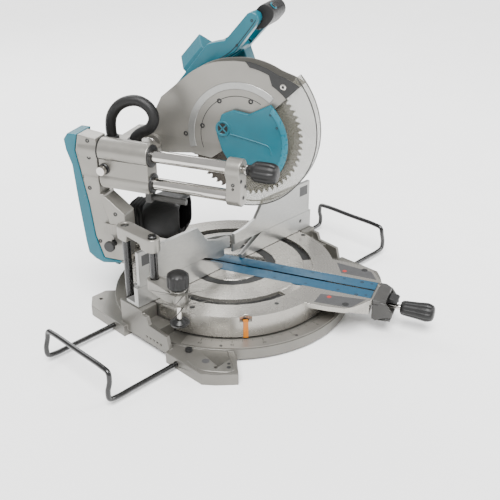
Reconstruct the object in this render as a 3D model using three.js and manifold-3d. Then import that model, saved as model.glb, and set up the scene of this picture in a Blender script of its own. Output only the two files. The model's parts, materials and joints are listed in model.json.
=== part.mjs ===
// A sliding compound mitre saw on its own cast base. Millimetres, +Z up.
// The origin is on the mitre pivot axis at bench level, +X is the operator's right, -Y is towards the operator.
import * as THREE from 'three';
import { mergeVertices } from 'three/addons/utils/BufferGeometryUtils.js';
import Module from 'manifold-3d';

const wasm = await Module();
wasm.setup();

// ---- Driving dimensions ----
const GAP = 0.3;                 // between pieces that touch
const RUN = 1.0;                 // between pieces that move past each other
const TABLE_TOP = 96;            // height of the work surface above the bench
const MITRE_REST = 22.5;         // degrees that the arm stands to the operator's right
const TABLE_R = 270;             // turntable radius
const TABLE_WALL = 8;
const TABLE_PLATE = 12;
const RING_R = 314;              // outside of the base ring
const RING_TOP = 34;
const FOOT_H = 30;
const FOOT_X = 334;              // half width over the feet
const FENCE_HALF = 318;          // half length of the fence
const LOWER_FENCE_H = 52;
const UPPER_FENCE_H = 146;
const FENCE_T = 14;
const HOLDER_ROD_R = 6;
const HOLDER_Z = 16;             // height of the holder rods above the bench
const HOLDER_REACH = { left: 530, right: 478 };  // from the pivot out to each holder's upright
const BLADE_R = 152.5;
const BLADE_T = 2.2;
const BLADE_Y = -34;             // blade centre, forward of the pivot axis
const BLADE_Z = TABLE_TOP + 361;
const HINGE_Y = 205;             // head hinge axis, behind the pivot axis
const HINGE_Z = TABLE_TOP + 320;
const RAIL_R = 15;
const RAIL_X = -171;             // the rails stand to the left of the blade
const RAIL_Z = [TABLE_TOP + 346, TABLE_TOP + 277];
const RAIL_FRONT = -88;
const RAIL_BACK = 328;
const CARRIAGE_Y = [130, 262];
const HOUSING_R = [30, 27];      // carriage and arm housings round the rails
const SLOT_HALF = 3.2;           // half width of the kerf slot at the surface
const BOARD_HALF = 41;           // from the kerf line to a kerf board's outer edge
const BOARD_T = 5;
const ARM_TIP = 392;             // how far the table arm reaches forward
const GUARD_HALF = 15;           // half width of the lower guard
const CASE_HALF = 22;            // half width of the blade case
const VISE_X = -297;
const VISE_Y = [58, -42, -126];  // post, second rod and screw
const VISE_ROD_R = 10;

// ---- Solids ----
function toSolid(geometry) {
  const bare = geometry.clone();
  for (const name of Object.keys(bare.attributes)) {
    if (name !== 'position') bare.deleteAttribute(name);
  }
  const merged = mergeVertices(bare, 1e-4);
  const count = merged.attributes.position.count;
  const tris = merged.index ? Uint32Array.from(merged.index.array) : Uint32Array.from({ length: count }, (_, i) => i);
  const mesh = (t) => new wasm.Mesh({
    numProp: 3, vertProperties: Float32Array.from(merged.attributes.position.array), triVerts: t,
  });
  const solid = new wasm.Manifold(mesh(tris));
  if (solid.volume() > 0) return solid;
  const flipped = Uint32Array.from(tris);
  for (let i = 0; i < tris.length; i += 3) {
    flipped[i + 1] = tris[i + 2];
    flipped[i + 2] = tris[i + 1];
  }
  return new wasm.Manifold(mesh(flipped));
}

const join = (...solids) => solids.reduce((a, b) => a.add(b));
const cut = (solid, ...tools) => tools.reduce((a, b) => a.subtract(b), solid);

function toGeometry(solid) {
  const mesh = solid.getMesh();
  const geometry = new THREE.BufferGeometry();
  geometry.setAttribute('position', new THREE.BufferAttribute(Float32Array.from(mesh.vertProperties), 3));
  geometry.setIndex(new THREE.BufferAttribute(Uint32Array.from(mesh.triVerts), 1));
  return geometry;
}

// A box from its lowest to its highest corner.
function box(x0, x1, y0, y1, z0, z1) {
  const geometry = new THREE.BoxGeometry(x1 - x0, y1 - y0, z1 - z0);
  geometry.translate((x0 + x1) / 2, (y0 + y1) / 2, (z0 + z1) / 2);
  return toSolid(geometry);
}

const AXES = { x: new THREE.Vector3(1, 0, 0), y: new THREE.Vector3(0, 1, 0), z: new THREE.Vector3(0, 0, 1) };

// A round bar or cone along an axis letter or a direction, from a point.
function bar(r, length, axis, from, r2 = r, sides = 24) {
  const geometry = new THREE.CylinderGeometry(r2, r, length, sides);
  geometry.translate(0, length / 2, 0);
  const along = typeof axis === 'string' ? AXES[axis] : axis.clone().normalize();
  geometry.applyQuaternion(new THREE.Quaternion().setFromUnitVectors(AXES.y, along));
  geometry.translate(...from);
  return toSolid(geometry);
}

const ring = (outer, inner, length, axis, from, sides = 24) => {
  const geometry = new THREE.LatheGeometry([
    new THREE.Vector2(inner, 0), new THREE.Vector2(outer, 0),
    new THREE.Vector2(outer, length), new THREE.Vector2(inner, length), new THREE.Vector2(inner, 0),
  ], sides);
  geometry.applyQuaternion(new THREE.Quaternion().setFromUnitVectors(AXES.y, AXES[axis]));
  geometry.translate(...from);
  return toSolid(geometry);
};

// A turned shape about Z from closed (radius, height) points.
function turned(points, sides = 72) {
  const profile = [...points, points[0]].map(([r, z]) => new THREE.Vector2(r, z));
  const geometry = new THREE.LatheGeometry(profile, sides);
  geometry.rotateX(Math.PI / 2);
  return toSolid(geometry);
}

function shapeOf(points) {
  return new THREE.Shape(points.map(([a, b]) => new THREE.Vector2(a, b)));
}

const PLANES = {
  top: [AXES.x, AXES.y, AXES.z],
  side: [AXES.y, AXES.z, AXES.x],
  front: [AXES.x, AXES.z, new THREE.Vector3(0, -1, 0)],
};

// An outline extruded from low to high: top outlines are (x, y), side outlines (y, z), front outlines (x, z).
function prism(plane, points, low, high) {
  const shape = Array.isArray(points) ? shapeOf(points) : points;
  const geometry = new THREE.ExtrudeGeometry(shape, { depth: high - low, bevelEnabled: false, curveSegments: 16 });
  geometry.applyMatrix4(new THREE.Matrix4().makeBasis(...PLANES[plane]));
  if (plane === 'top') geometry.translate(0, 0, low);
  if (plane === 'side') geometry.translate(low, 0, 0);
  if (plane === 'front') geometry.translate(0, high, 0);
  return toSolid(geometry);
}

// Points round a centre from one angle to another, in degrees.
function arc(cx, cy, r, from, to, steps = 12) {
  return Array.from({ length: steps + 1 }, (_, i) => {
    const a = THREE.MathUtils.degToRad(from + ((to - from) * i) / steps);
    return [cx + r * Math.cos(a), cy + r * Math.sin(a)];
  });
}

// Points round the blade axis in a side view. Angle 0 points forward and 90 points up.
function bladeArc(r, from, to, steps = 12) {
  const radius = typeof r === 'function' ? r : () => r;
  return Array.from({ length: steps + 1 }, (_, i) => {
    const deg = from + ((to - from) * i) / steps;
    const a = THREE.MathUtils.degToRad(deg);
    return [BLADE_Y - radius(deg) * Math.cos(a), BLADE_Z + radius(deg) * Math.sin(a)];
  });
}

// A round tube along a smooth path.
function tube(points, radius, steps, sides = 10, tension = 'centripetal') {
  const path = new THREE.CatmullRomCurve3(points.map((p) => new THREE.Vector3(...p)), false, tension);
  const section = shapeOf(arc(0, 0, radius, 0, 360 - 360 / sides, sides - 1));
  return toSolid(new THREE.ExtrudeGeometry(section, { steps, extrudePath: path, bevelEnabled: false }));
}

const mirrorX = (solid) => solid.mirror([1, 0, 0]);

// ---- Materials ----
const COLOURS = {
  casting: [0xb4b2aa, 0.45, 0.6], machined: [0xd2cfc8, 0.3, 0.8], steel: [0xd8d6d0, 0.2, 1.0],
  teal: [0x0b93a8, 0.4, 0.0], board: [0x2f86ab, 0.5, 0.0], black: [0x1c1c1c, 0.6, 0.0],
  rubber: [0x2b2a29, 0.8, 0.0], dark: [0x6f6d68, 0.6, 0.1], blade: [0x4d4b48, 0.3, 0.9],
  guard: [0xbab9ad, 0.3, 0.0], orange: [0xf39a1d, 0.5, 0.0], plate: [0xc9c6be, 0.4, 0.6],
};

function add(group, name, solid, colour) {
  const [color, roughness, metalness] = COLOURS[colour];
  const mesh = new THREE.Mesh(toGeometry(solid), new THREE.MeshStandardMaterial({ color, roughness, metalness }));
  mesh.name = name;
  group.add(mesh);
}

// ---- Base ----
const HUB_R = 45;
const PIVOT_R = 10;
const FLOOR_Z = [24, 32];
const WEB_X = [FOOT_X - 22, FOOT_X - 12];
const DECK_X = FENCE_HALF + 4;
const FENCE_FOOT_Y = 46;
const HOLDER_Y = [88, -150];
const HOLDER_ROD = 325;         // length of a holder's rods inside and beside the foot

const TUNNEL_END = 95;

function baseWing() {
  const frontFoot = prism('top', [
    [FOOT_X, -112], [FOOT_X, -236], [313, -262], [275, -297], [226, -240], [200, -180], [262, -96],
  ], 0, FOOT_H);
  const rearFoot = prism('top', [
    [FOOT_X, 46], [FOOT_X - 4, 186], [302, 222], [258, 222], [206, 176], [262, 46],
  ], 0, FOOT_H);
  const web = prism('side', [
    [-118, 14], [-104, 62], [-40, 66], [-32, 86], [56, 88], [56, 13], [-96, 13],
  ], WEB_X[0], WEB_X[1]);
  const slots = Array.from({ length: 10 }, (_, i) => {
    const y = -84 + i * 13 + (i > 4 ? 10 : 0);
    return box(WEB_X[0] - 1, WEB_X[1] + 1, y, y + 6, 17, 32);
  });
  const deck = prism('top', [
    [DECK_X, -14], [DECK_X, FENCE_FOOT_Y + 22], [226, FENCE_FOOT_Y + 22], [226, 12], [262, -14],
  ], FOOT_H - 4, TABLE_TOP - GAP);
  const step = box(262, WEB_X[0] + 2, -66, -12, 20, 62);
  const bolster = prism('top', [[WEB_X[1], 46], [WEB_X[1], -112], [250, -112], [230, 46]], 14, 28);
  const screwHoles = [[292, -240], [292, 196]].map(([x, y]) => bar(4.5, 60, 'z', [x, y, -10], 4.5, 16));
  return cut(join(frontFoot, rearFoot, cut(web, ...slots), deck, step, bolster), ...screwHoles);
}

function baseCasting() {
  const dish = turned([
    [PIVOT_R + GAP, 0], [HUB_R, 0], [HUB_R, FLOOR_Z[0]], [RING_R - 14, FLOOR_Z[0]], [RING_R - 14, 6],
    [RING_R, 6], [RING_R, RING_TOP], [TABLE_R - 24, RING_TOP], [TABLE_R - 24, FLOOR_Z[1]],
    [PIVOT_R + GAP, FLOOR_Z[1]],
  ], 60);
  const wing = baseWing();
  const tableWell = bar(TABLE_R + 4, 100, 'z', [0, 0, RING_TOP], TABLE_R + 4, 96);
  const tunnels = [];
  for (const y of HOLDER_Y) {
    for (const x of [-FOOT_X - 20, TUNNEL_END]) {
      tunnels.push(bar(HOLDER_ROD_R + GAP, FOOT_X + 20 - TUNNEL_END, 'x', [x, y, HOLDER_Z], undefined, 16));
    }
  }
  const post = bar(VISE_ROD_R + GAP, 80, 'z', [VISE_X, VISE_Y[0], 40], undefined, 16);
  const post2 = bar(VISE_ROD_R + GAP, 80, 'z', [-VISE_X, VISE_Y[0], 40], undefined, 16);
  const screws = [-1, 1].map((s) => bar(4 + GAP, 30, 'z', [s * 292, HOLDER_Y[1] + 2, HOLDER_Z + 4], undefined, 12));
  const body = join(dish, cut(join(wing, mirrorX(wing)), tableWell));
  const hubFloor = bar(HUB_R - 4, 3.7, 'z', [0, 0, 0]);
  return join(cut(body, ...tunnels, post, post2, ...screws), hubFloor);
}

const base = new THREE.Group();
add(base, 'base_casting', baseCasting(), 'casting');

function mitreScale() {
  const inner = TABLE_R + 5;
  const outer = RING_R - 3;
  const outline = [...arc(0, 0, outer, -158, -22, 36), ...arc(0, 0, inner, -22, -158, 36)];
  return prism('top', outline, RING_TOP + GAP, RING_TOP + 3);
}
add(base, 'mitre_scale', mitreScale(), 'plate');
add(base, 'pivot_bolt', join(
  bar(PIVOT_R, 76, 'z', [0, 0, 4]), bar(18, 6, 'z', [0, 0, 78], 18, 6),
), 'steel');

// ---- Fences ----
const FENCE_Z = TABLE_TOP + RUN;
const KERF_HALF = 30;
const SHOULDER_X = 112;
const BOW_R = 128;

function lowerFence() {
  const top = FENCE_Z + LOWER_FENCE_H;
  const side = [
    [FENCE_HALF, FENCE_Z], [FENCE_HALF, top], [SHOULDER_X, top], [KERF_HALF + 6, FENCE_Z + 10], [KERF_HALF + 6, FENCE_Z],
  ];
  const plate = prism('front', side, 0, FENCE_T);
  const footPlate = box(230, FENCE_HALF, FENCE_T - 1, FENCE_FOOT_Y, FENCE_Z, FENCE_Z + 9);
  const rib = box(286, 294, FENCE_T - 1, FENCE_FOOT_Y, FENCE_Z, FENCE_Z + 40);
  const link = prism('top', [[BOW_R - 12, FENCE_T - 1], [BOW_R + 8, FENCE_T - 1], [BOW_R + 8, 30], [BOW_R - 12, 30]],
    FENCE_Z, FENCE_Z + 20);
  const half = join(plate, footPlate, rib, link);
  const bow = prism('top', [...arc(0, 0, BOW_R + 10, 8, 172, 24), ...arc(0, 0, BOW_R, 172, 8, 24)],
    FENCE_Z, FENCE_Z + 20);
  const bolts = [-1, 1].map((s) => bar(4, 20, 'z', [s * 262, 32, FENCE_Z - 5], undefined, 12));
  const clampHoles = [-1, 1].map((s) => bar(5 + GAP, 90, 'y', [s * 274, -5, FENCE_Z + 30], undefined, 12));
  const posts = [-1, 1].map((s) => bar(VISE_ROD_R + 3, 60, 'z', [s * VISE_X, VISE_Y[0], FENCE_Z - 5]));
  return cut(join(half, mirrorX(half), bow), ...bolts, ...clampHoles, ...posts);
}
add(base, 'lower_fence', lowerFence(), 'machined');

// The inner tail hangs behind the lower fence, so that the fence can slide outward.
function upperFence(side) {
  const z = FENCE_Z + LOWER_FENCE_H + GAP;
  const top = TABLE_TOP + UPPER_FENCE_H;
  const outline = [
    [310, z], [310, top], [120, top], [88, TABLE_TOP + 100], [49, TABLE_TOP + 87], [9, TABLE_TOP + 83], [9, z],
  ];
  const plate = prism('front', outline, 0, 10);
  const guide = box(150, 255, 9, FENCE_T + 14, z + 6, z + 22);
  const tail = prism('front', [
    [15, z + 16], [15, TAIL_Z], [40, TAIL_Z], [108, z], [120, z + 6], [120, z + 16],
  ], FENCE_T + GAP, FENCE_T + 6);
  const neck = box(15, 120, 9, FENCE_T + 6, z + 2, z + 16);
  const solid = join(plate, guide, tail, neck);
  return side > 0 ? solid : mirrorX(solid);
}
const TAIL_Z = TABLE_TOP + 23;

function fenceClamp(side) {
  const y = FENCE_T + GAP;
  const z = FENCE_Z + 30;
  const hub = join(bar(11, 14, 'y', [side * 274, y, z]), bar(5, 15, 'y', [side * 274, 1, z], undefined, 12));
  const lever = prism('front', [[-6, -4], [6, -4], [5, 23], [-5, 23]].map(([a, b]) => [side * 274 + a, z + b]),
    y + 4, y + 12);
  return join(hub, lever);
}
for (const [name, side] of [['left', -1], ['right', 1]]) {
  add(base, `upper_fence_${name}`, upperFence(side), 'machined');
  add(base, `fence_clamp_${name}`, fenceClamp(side), 'black');
}

// ---- Work holders ----
function workHolder(side, reach) {
  const bar0 = reach - HOLDER_ROD;
  const topZ = TABLE_TOP - HOLDER_ROD_R;
  const [yr, yf] = HOLDER_Y;
  const bend = 26;
  const points = [
    [bar0, yr, HOLDER_Z], [reach - 130, yr, HOLDER_Z], [reach - 60, yr, HOLDER_Z], [reach - bend, yr, HOLDER_Z], [reach - 5, yr, HOLDER_Z + 5],
    [reach - 2, yr, HOLDER_Z + bend], [reach - 8, yr, topZ - bend], [reach - 10, yr - 5, topZ - 4],
    [reach - 10, yr - bend, topZ], [reach - 10, -31, topZ],
    [reach - 10, yf + bend, topZ], [reach - 10, yf + 5, topZ - 4], [reach - 8, yf, topZ - bend],
    [reach - 2, yf, HOLDER_Z + bend], [reach - 5, yf, HOLDER_Z + 5], [reach - bend, yf, HOLDER_Z],
    [reach - 60, yf, HOLDER_Z], [reach - 130, yf, HOLDER_Z], [bar0, yf, HOLDER_Z],
  ].map(([x, y, z]) => [side * x, y, z]);
  return tube(points, HOLDER_ROD_R, 56, 8);
}
for (const [name, side] of [['left', -1], ['right', 1]]) {
  add(base, `work_holder_${name}`, workHolder(side, HOLDER_REACH[name]), 'black');
  add(base, `holder_screw_${name}`, join(
    bar(4, 12, 'z', [side * 292, HOLDER_Y[1] + 2, HOLDER_Z + HOLDER_ROD_R + 1], undefined, 12),
    bar(9, 7, 'z', [side * 292, HOLDER_Y[1] + 2, FOOT_H + GAP], undefined, 12),
  ), 'black');
}

// ---- Vise ----
const VISE_TOP = TABLE_TOP + 198;
const VISE_LOW = TABLE_TOP + 92;
const VISE_SCREW_R = 6;

function viseTopArm() {
  const [y0, y1] = VISE_Y;
  const outline = [...arc(VISE_X, y0, 20, 0, 180, 10), ...arc(VISE_X, y1, 18, 180, 360, 10)];
  const arm = prism('top', outline, VISE_TOP - 34, VISE_TOP);
  const relief = prism('side', [[y1 + 20, VISE_TOP - 40], [y1 + 26, VISE_TOP - 20], [y0 - 28, VISE_TOP - 16],
    [y0 - 22, VISE_TOP - 40]], VISE_X - 30, VISE_X + 30);
  return cut(arm, relief, bar(VISE_ROD_R + GAP, 60, 'z', [VISE_X, y0, VISE_TOP - 50], undefined, 16),
    bar(VISE_ROD_R + GAP, 60, 'z', [VISE_X, y1, VISE_TOP - 50], undefined, 16));
}
function viseLowerArm() {
  const [, y1, y2] = VISE_Y;
  const outline = [...arc(VISE_X, y1, 18, 0, 180, 10), ...arc(VISE_X, y2, 20, 180, 360, 10)];
  const arm = prism('top', outline, VISE_LOW - 30, VISE_LOW);
  const boss = bar(20, 40, 'z', [VISE_X, y2, VISE_LOW - 34]);
  const hole = bar(VISE_ROD_R + GAP, 50, 'z', [VISE_X, y1, VISE_LOW - 45], undefined, 16);
  return cut(join(arm, boss), hole, bar(VISE_SCREW_R + GAP, 90, 'z', [VISE_X, y2, VISE_LOW - 60], undefined, 16));
}
const VISE_KNOB_Z = VISE_LOW + 10;
function viseKnob() {
  const grip = new THREE.Shape(arc(0, 0, 1, 0, 350, 35).map(([a, b], i) => {
    const r = i % 3 === 0 ? 23 : 26;
    return new THREE.Vector2(VISE_X + a * r, VISE_Y[2] + b * r);
  }));
  const body = prism('top', grip, VISE_KNOB_Z, VISE_KNOB_Z + 34);
  const crown = bar(23, 6, 'z', [VISE_X, VISE_Y[2], VISE_KNOB_Z + 33], 15);
  return cut(join(body, crown), bar(VISE_SCREW_R + GAP, 20, 'z', [VISE_X, VISE_Y[2], VISE_KNOB_Z - 1], undefined, 16));
}
add(base, 'vise_post', bar(VISE_ROD_R, VISE_TOP - 4 - 46, 'z', [VISE_X, VISE_Y[0], 46]), 'black');
add(base, 'vise_top_arm', viseTopArm(), 'casting');
add(base, 'vise_rod', bar(VISE_ROD_R, VISE_TOP + 6 - (VISE_LOW - 28), 'z', [VISE_X, VISE_Y[1], VISE_LOW - 28]), 'black');
add(base, 'vise_lower_arm', viseLowerArm(), 'casting');
add(base, 'vise_knob', viseKnob(), 'black');
add(base, 'vise_screw', bar(VISE_SCREW_R, VISE_KNOB_Z + 18 - 112, 'z', [VISE_X, VISE_Y[2], 112], undefined, 16), 'steel');
add(base, 'vise_pad', join(
  bar(22, 5, 'z', [VISE_X, VISE_Y[2], 99], 24), bar(18, 7.7, 'z', [VISE_X, VISE_Y[2], 104], 9),
), 'black');

// ---- Turntable ----
const mitre = new THREE.Group();
mitre.rotation.z = THREE.MathUtils.degToRad(MITRE_REST);

const ARM_OUTLINE = [
  [-122, -225], [-118, -300], [-112, -340], [-98, -358], [-48, -ARM_TIP],
  [48, -ARM_TIP], [98, -358], [112, -340], [118, -300], [122, -225],
];
const TROUGH_HALF = 20;
const TROUGH_Z = 80;
const SLOT_BACK = 112;
const BOARD_BACK = 60;
const BEVEL_BOSS_Y = [TABLE_R + 8, TABLE_R + 34];
const BEVEL_BOSS_R = 58;

function ringSlot(r0, r1, from, to, z0) {
  return prism('top', [...arc(0, 0, r1, from, to, 15), ...arc(0, 0, r0, to, from, 15)], z0, TABLE_TOP + 5);
}

function turntableCasting() {
  const drum = turned([
    [PIVOT_R + GAP, FLOOR_Z[1] + GAP], [36, FLOOR_Z[1] + GAP], [36, 70], [36, TABLE_TOP - TABLE_PLATE],
    [TABLE_R - TABLE_WALL, TABLE_TOP - TABLE_PLATE], [TABLE_R - TABLE_WALL, RING_TOP + 5],
    [TABLE_R, RING_TOP + 5], [TABLE_R, TABLE_TOP], [PIVOT_R + GAP, TABLE_TOP],
  ], 72);
  const arm = prism('top', ARM_OUTLINE, TABLE_TOP - 13, TABLE_TOP);
  const beam = prism('top', [[-52, -255], [-52, -350], [-44, -386], [44, -386], [52, -350], [52, -255]], 50, 84);
  const ribs = join(box(-262, 262, -7, 7, 45, 86), box(-7, 7, -260, -30, 45, 82), box(-60, 60, 120, 266, 60, 86));
  const neck = box(-52, 52, TABLE_R - 12, BEVEL_BOSS_Y[0] + 2, RING_TOP + 8, TABLE_TOP);
  const boss = cut(bar(BEVEL_BOSS_R, BEVEL_BOSS_Y[1] - BEVEL_BOSS_Y[0], 'y', [0, BEVEL_BOSS_Y[0], TABLE_TOP], undefined, 48),
    box(-80, 80, 200, 400, 0, RING_TOP + 6));
  const seat = box(-BOARD_HALF - GAP, BOARD_HALF + GAP, -ARM_TIP - 5, BOARD_BACK + GAP, TABLE_TOP - BOARD_T, TABLE_TOP + 5);
  const trough = box(-TROUGH_HALF, TROUGH_HALF, -ARM_TIP + 12, SLOT_BACK, TROUGH_Z, TABLE_TOP + 5);
  const slots = [
    ringSlot(188.6, 212.6, -118, -300, TABLE_TOP - 9), ringSlot(188.6, 212.6, -62, 60, TABLE_TOP - 9),
    ringSlot(188.6, 212.6, -118, -98, TABLE_TOP - 2), ringSlot(188.6, 212.6, -82, -62, TABLE_TOP - 2),
    ringSlot(89.6, 115.6, 130, 410, TABLE_TOP - 2),
  ];
  const armHoles = [-1, 1].map((s) => bar(8, 40, 'z', [s * 92, -337, 60], undefined, 16));
  const boltHole = join(bar(22, 30, 'z', [0, 0, 77.7]), bar(PIVOT_R + GAP, 80, 'z', [0, 0, 20]));
  const notch = bar(17, 30, 'z', [...arc(0, 0, TABLE_R + 4, POINTER_ANGLE, POINTER_ANGLE, 1)[0], TABLE_TOP - 14], undefined, 6);
  const grip = bar(7 + GAP, 160, 'y', [0, -ARM_TIP - 10, GRIP_Z], undefined, 16);
  const bevelBore = bar(11, 130, 'y', [0, 200, TABLE_TOP], undefined, 16);
  return cut(join(cut(drum, box(-TROUGH_HALF, TROUGH_HALF, -60, 60, 78, 120)), arm, beam, ribs, neck, boss),
    seat, trough, ...slots, ...armHoles, boltHole, notch, grip, bevelBore);
}
const POINTER_ANGLE = -90 - 60.5;
const GRIP_Z = TABLE_TOP - 34;

add(mitre, 'turntable_casting', turntableCasting(), 'machined');

function kerfBoard(side) {
  const low = TABLE_TOP - BOARD_T + GAP;
  const high = TABLE_TOP - 0.2;
  const section = [
    [side * BOARD_HALF, low], [side * BOARD_HALF, high], [side * SLOT_HALF, high],
    [side * (SLOT_HALF + 0.6), high - 0.5], [side * (SLOT_HALF + 6.5), low],
  ];
  return prism('front', section, -ARM_TIP + 6, BOARD_BACK);
}
add(mitre, 'kerf_board_left', kerfBoard(-1), 'board');
add(mitre, 'kerf_board_right', kerfBoard(1), 'board');

function mitrePointer() {
  const plate = join(box(-6, 6, -TABLE_R - 2.6, -TABLE_R - GAP, RING_TOP + 5, TABLE_TOP - 11.5),
    box(-6, 6, -TABLE_R - 2.6, -TABLE_R + 8, TABLE_TOP - 14 + GAP, TABLE_TOP - 11.5));
  return plate.rotate([0, 0, POINTER_ANGLE + 90]);
}
add(mitre, 'mitre_pointer', mitrePointer(), 'orange');

function armNose() {
  const outline = [[-47, -ARM_TIP - GAP], [-47, -408], [-34, -424], [34, -424], [47, -408], [47, -ARM_TIP - GAP]];
  const cap = prism('top', outline, TABLE_TOP - 12, TABLE_TOP - 1);
  const cheeks = [-1, 1].map((s) => prism('side', [
    [-ARM_TIP - GAP, TABLE_TOP - 2], [-ARM_TIP - GAP, 40], [-ARM_TIP - 10, 36], [-424, 46], [-444, 52], [-440, 66],
    [-424, TABLE_TOP - 8],
  ], s * 40 - 5, s * 40 + 5));
  const shelf = box(-44, 44, -440, -ARM_TIP - GAP, 40, 46);
  return cut(join(cap, ...cheeks, shelf), bar(9, 80, 'y', [0, -450, GRIP_Z], undefined, 16));
}
add(mitre, 'arm_nose', armNose(), 'dark');

function detentLever() {
  return prism('side', [
    [-400, TABLE_TOP - 13], [-400, TABLE_TOP - 20], [-436, TABLE_TOP - 18], [-448, TABLE_TOP - 18],
    [-450, TABLE_TOP - 12], [-444, TABLE_TOP - 8], [-428, TABLE_TOP - 6], [-426, TABLE_TOP - 13],
  ], -17, 17);
}
add(mitre, 'detent_lever', detentLever(), 'black');

function mitreGrip() {
  const rod = bar(7, 84, 'y', [0, -470, GRIP_Z], undefined, 16);
  const profile = [
    [0, 0], [14, 0], [19, 8], [21, 40], [24, 66], [20, 80], [10, 84], [0, 84],
  ].map(([r, h]) => new THREE.Vector2(r, h));
  const geometry = new THREE.LatheGeometry(profile, 20);
  geometry.rotateX(Math.PI);
  geometry.translate(0, -456, GRIP_Z);
  return join(rod, toSolid(geometry));
}
add(mitre, 'mitre_grip', mitreGrip(), 'black');

// ---- Bevel arm ----
const ARM_X = [-197, -150];
const ARM_Y0 = BEVEL_BOSS_Y[1] + GAP;
const ARCH_BACK = ARM_Y0 + 24;
const KNOB_YZ = [236, TABLE_TOP + 110];

// Side outlines below are (y, height above the table).
const up = (points) => points.map(([y, h]) => [y, TABLE_TOP + h]);
const COVER_EDGE = [[314, 384], [323, 343], [309, 268], [297, 203], [288, 122], [268, 62]];
const ARM_FRONT = CARRIAGE_Y[1] + 2;

function bevelArm() {
  const cheek = prism('side', up([
    [ARM_FRONT, 378], ...COVER_EDGE, [216, 62], [205, 74], [198, 112], [200, 192], [236, 220], [252, 232],
    [ARM_FRONT, 290],
  ]), ARM_X[0], ARM_X[1]);
  const caps = RAIL_Z.map((z, i) => bar(HOUSING_R[i] + 1, 50 - i * 8, 'y', [RAIL_X, ARM_FRONT, z], undefined, 32));
  const boss = bar(BEVEL_BOSS_R, ARCH_BACK - ARM_Y0, 'y', [0, ARM_Y0, TABLE_TOP], undefined, 48);
  const root = box(ARM_X[1] - 2, -110, 240, 306, TABLE_TOP + 64, TABLE_TOP + 166);
  const arch = prism('front', [
    [-114, TABLE_TOP + 66], [-114, TABLE_TOP + 162], [-20, TABLE_TOP + 57], [20, TABLE_TOP + 54],
    [54, TABLE_TOP], [20, TABLE_TOP - 54], [-30, TABLE_TOP - 49], [-100, TABLE_TOP + 26],
  ], ARM_Y0 - 14, ARCH_BACK);
  const socket = bar(BEVEL_BOSS_R + RUN, 90, 'y', [0, ARM_Y0 - 90, TABLE_TOP], undefined, 48);
  const bores = RAIL_Z.map((z) => bar(RAIL_R + GAP, 120, 'y', [RAIL_X, 250, z]));
  const carriageRoom = box(-240, -100, 200, ARM_FRONT, TABLE_TOP + 237, TABLE_TOP + 500);
  const pivot = bar(11, 100, 'y', [0, 290, TABLE_TOP], undefined, 16);
  const knob = bar(7 + GAP, 40, 'x', [ARM_X[0] - 10, ...KNOB_YZ], undefined, 16);
  return cut(join(cheek, ...caps, boss, root, cut(arch, socket)), ...bores, pivot, carriageRoom, knob);
}
add(mitre, 'bevel_arm', bevelArm(), 'casting');
add(mitre, 'bevel_pivot', join(
  bar(11 - GAP, 74, 'y', [0, ARCH_BACK + 2 - 74, TABLE_TOP], undefined, 16),
  bar(18, 8, 'y', [0, ARCH_BACK + GAP, TABLE_TOP], undefined, 6),
), 'steel');

// The cover wraps the arm's back and shows a strip of its own behind the cheek.
function armRearCover() {
  const strip = prism('side', up([
    ...COVER_EDGE.map(([y, h]) => [y + 0.4, h]), [217, 61.6], [222, 56], [272, 48], [294, 56], [312, 70],
    [317, 103], [328, 212], [335, 304], [348, 341], [352, 368], [340, 384],
  ]), ARM_X[0] - 2, ARM_X[1] + 18);
  const corner = box(ARM_X[1] + 2, -100, 306 + GAP, ARCH_BACK + 12, TABLE_TOP + 66, TABLE_TOP + 166);
  const skirt = prism('front', [
    [-134, TABLE_TOP + 66], [-134, TABLE_TOP + 166], [-112, TABLE_TOP + 166], [-18, TABLE_TOP + 62],
    [24, TABLE_TOP + 58], [60, TABLE_TOP], [24, TABLE_TOP - 58], [-32, TABLE_TOP - 54], [-104, TABLE_TOP + 22],
  ], ARCH_BACK + GAP, ARCH_BACK + 12);
  const arch = box(-114 - GAP, 80, 270, ARCH_BACK + GAP, TABLE_TOP - 80, TABLE_TOP + 180);
  const root = box(ARM_X[1] - 3, -110 + GAP, 200, 306 + GAP, TABLE_TOP + 63.6, TABLE_TOP + 166.4);
  const nut = bar(21, 60, 'y', [0, ARCH_BACK - 1, TABLE_TOP], undefined, 32);
  const bores = RAIL_Z.map((z) => bar(RAIL_R + GAP, RAIL_BACK + GAP - 250, 'y', [RAIL_X, 250, z]));
  const caps = RAIL_Z.map((z, i) => bar(HOUSING_R[i] + 1 + GAP, 51 - i * 8, 'y', [RAIL_X, ARM_FRONT - 1 + GAP, z],
    undefined, 32));
  return cut(join(strip, corner, skirt), arch, root, nut, ...bores, ...caps);
}
add(mitre, 'arm_rear_cover', armRearCover(), 'teal');

for (const [name, z] of [['rail_upper', RAIL_Z[0]], ['rail_lower', RAIL_Z[1]]]) {
  add(mitre, name, bar(RAIL_R, RAIL_BACK - RAIL_FRONT, 'y', [RAIL_X, RAIL_FRONT, z], undefined, 32), 'steel');
}

function railBracket() {
  const [zt, zb] = RAIL_Z;
  const y0 = RAIL_FRONT - 14;
  const outline = [
    ...arc(RAIL_X, zt, 25, 0, 180, 10), [RAIL_X - 25, zt - 10], [RAIL_X - 19, zt - 24], [RAIL_X - 19, zb + 20],
    ...arc(RAIL_X, zb, 22, 180, 360, 10), [RAIL_X + 19, zb + 20], [RAIL_X + 19, zt - 24], [RAIL_X + 25, zt - 10],
  ];
  const body = prism('front', outline, y0, y0 + 36);
  const bores = [zt, zb].map((z) => bar(RAIL_R + GAP, 40, 'y', [RAIL_X, RAIL_FRONT - GAP, z]));
  const lock = bar(8 + GAP, 40, 'y', [RAIL_X, y0 - 2, zt], undefined, 16);
  return cut(body, ...bores, lock);
}
add(mitre, 'rail_bracket', railBracket(), 'casting');

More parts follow.
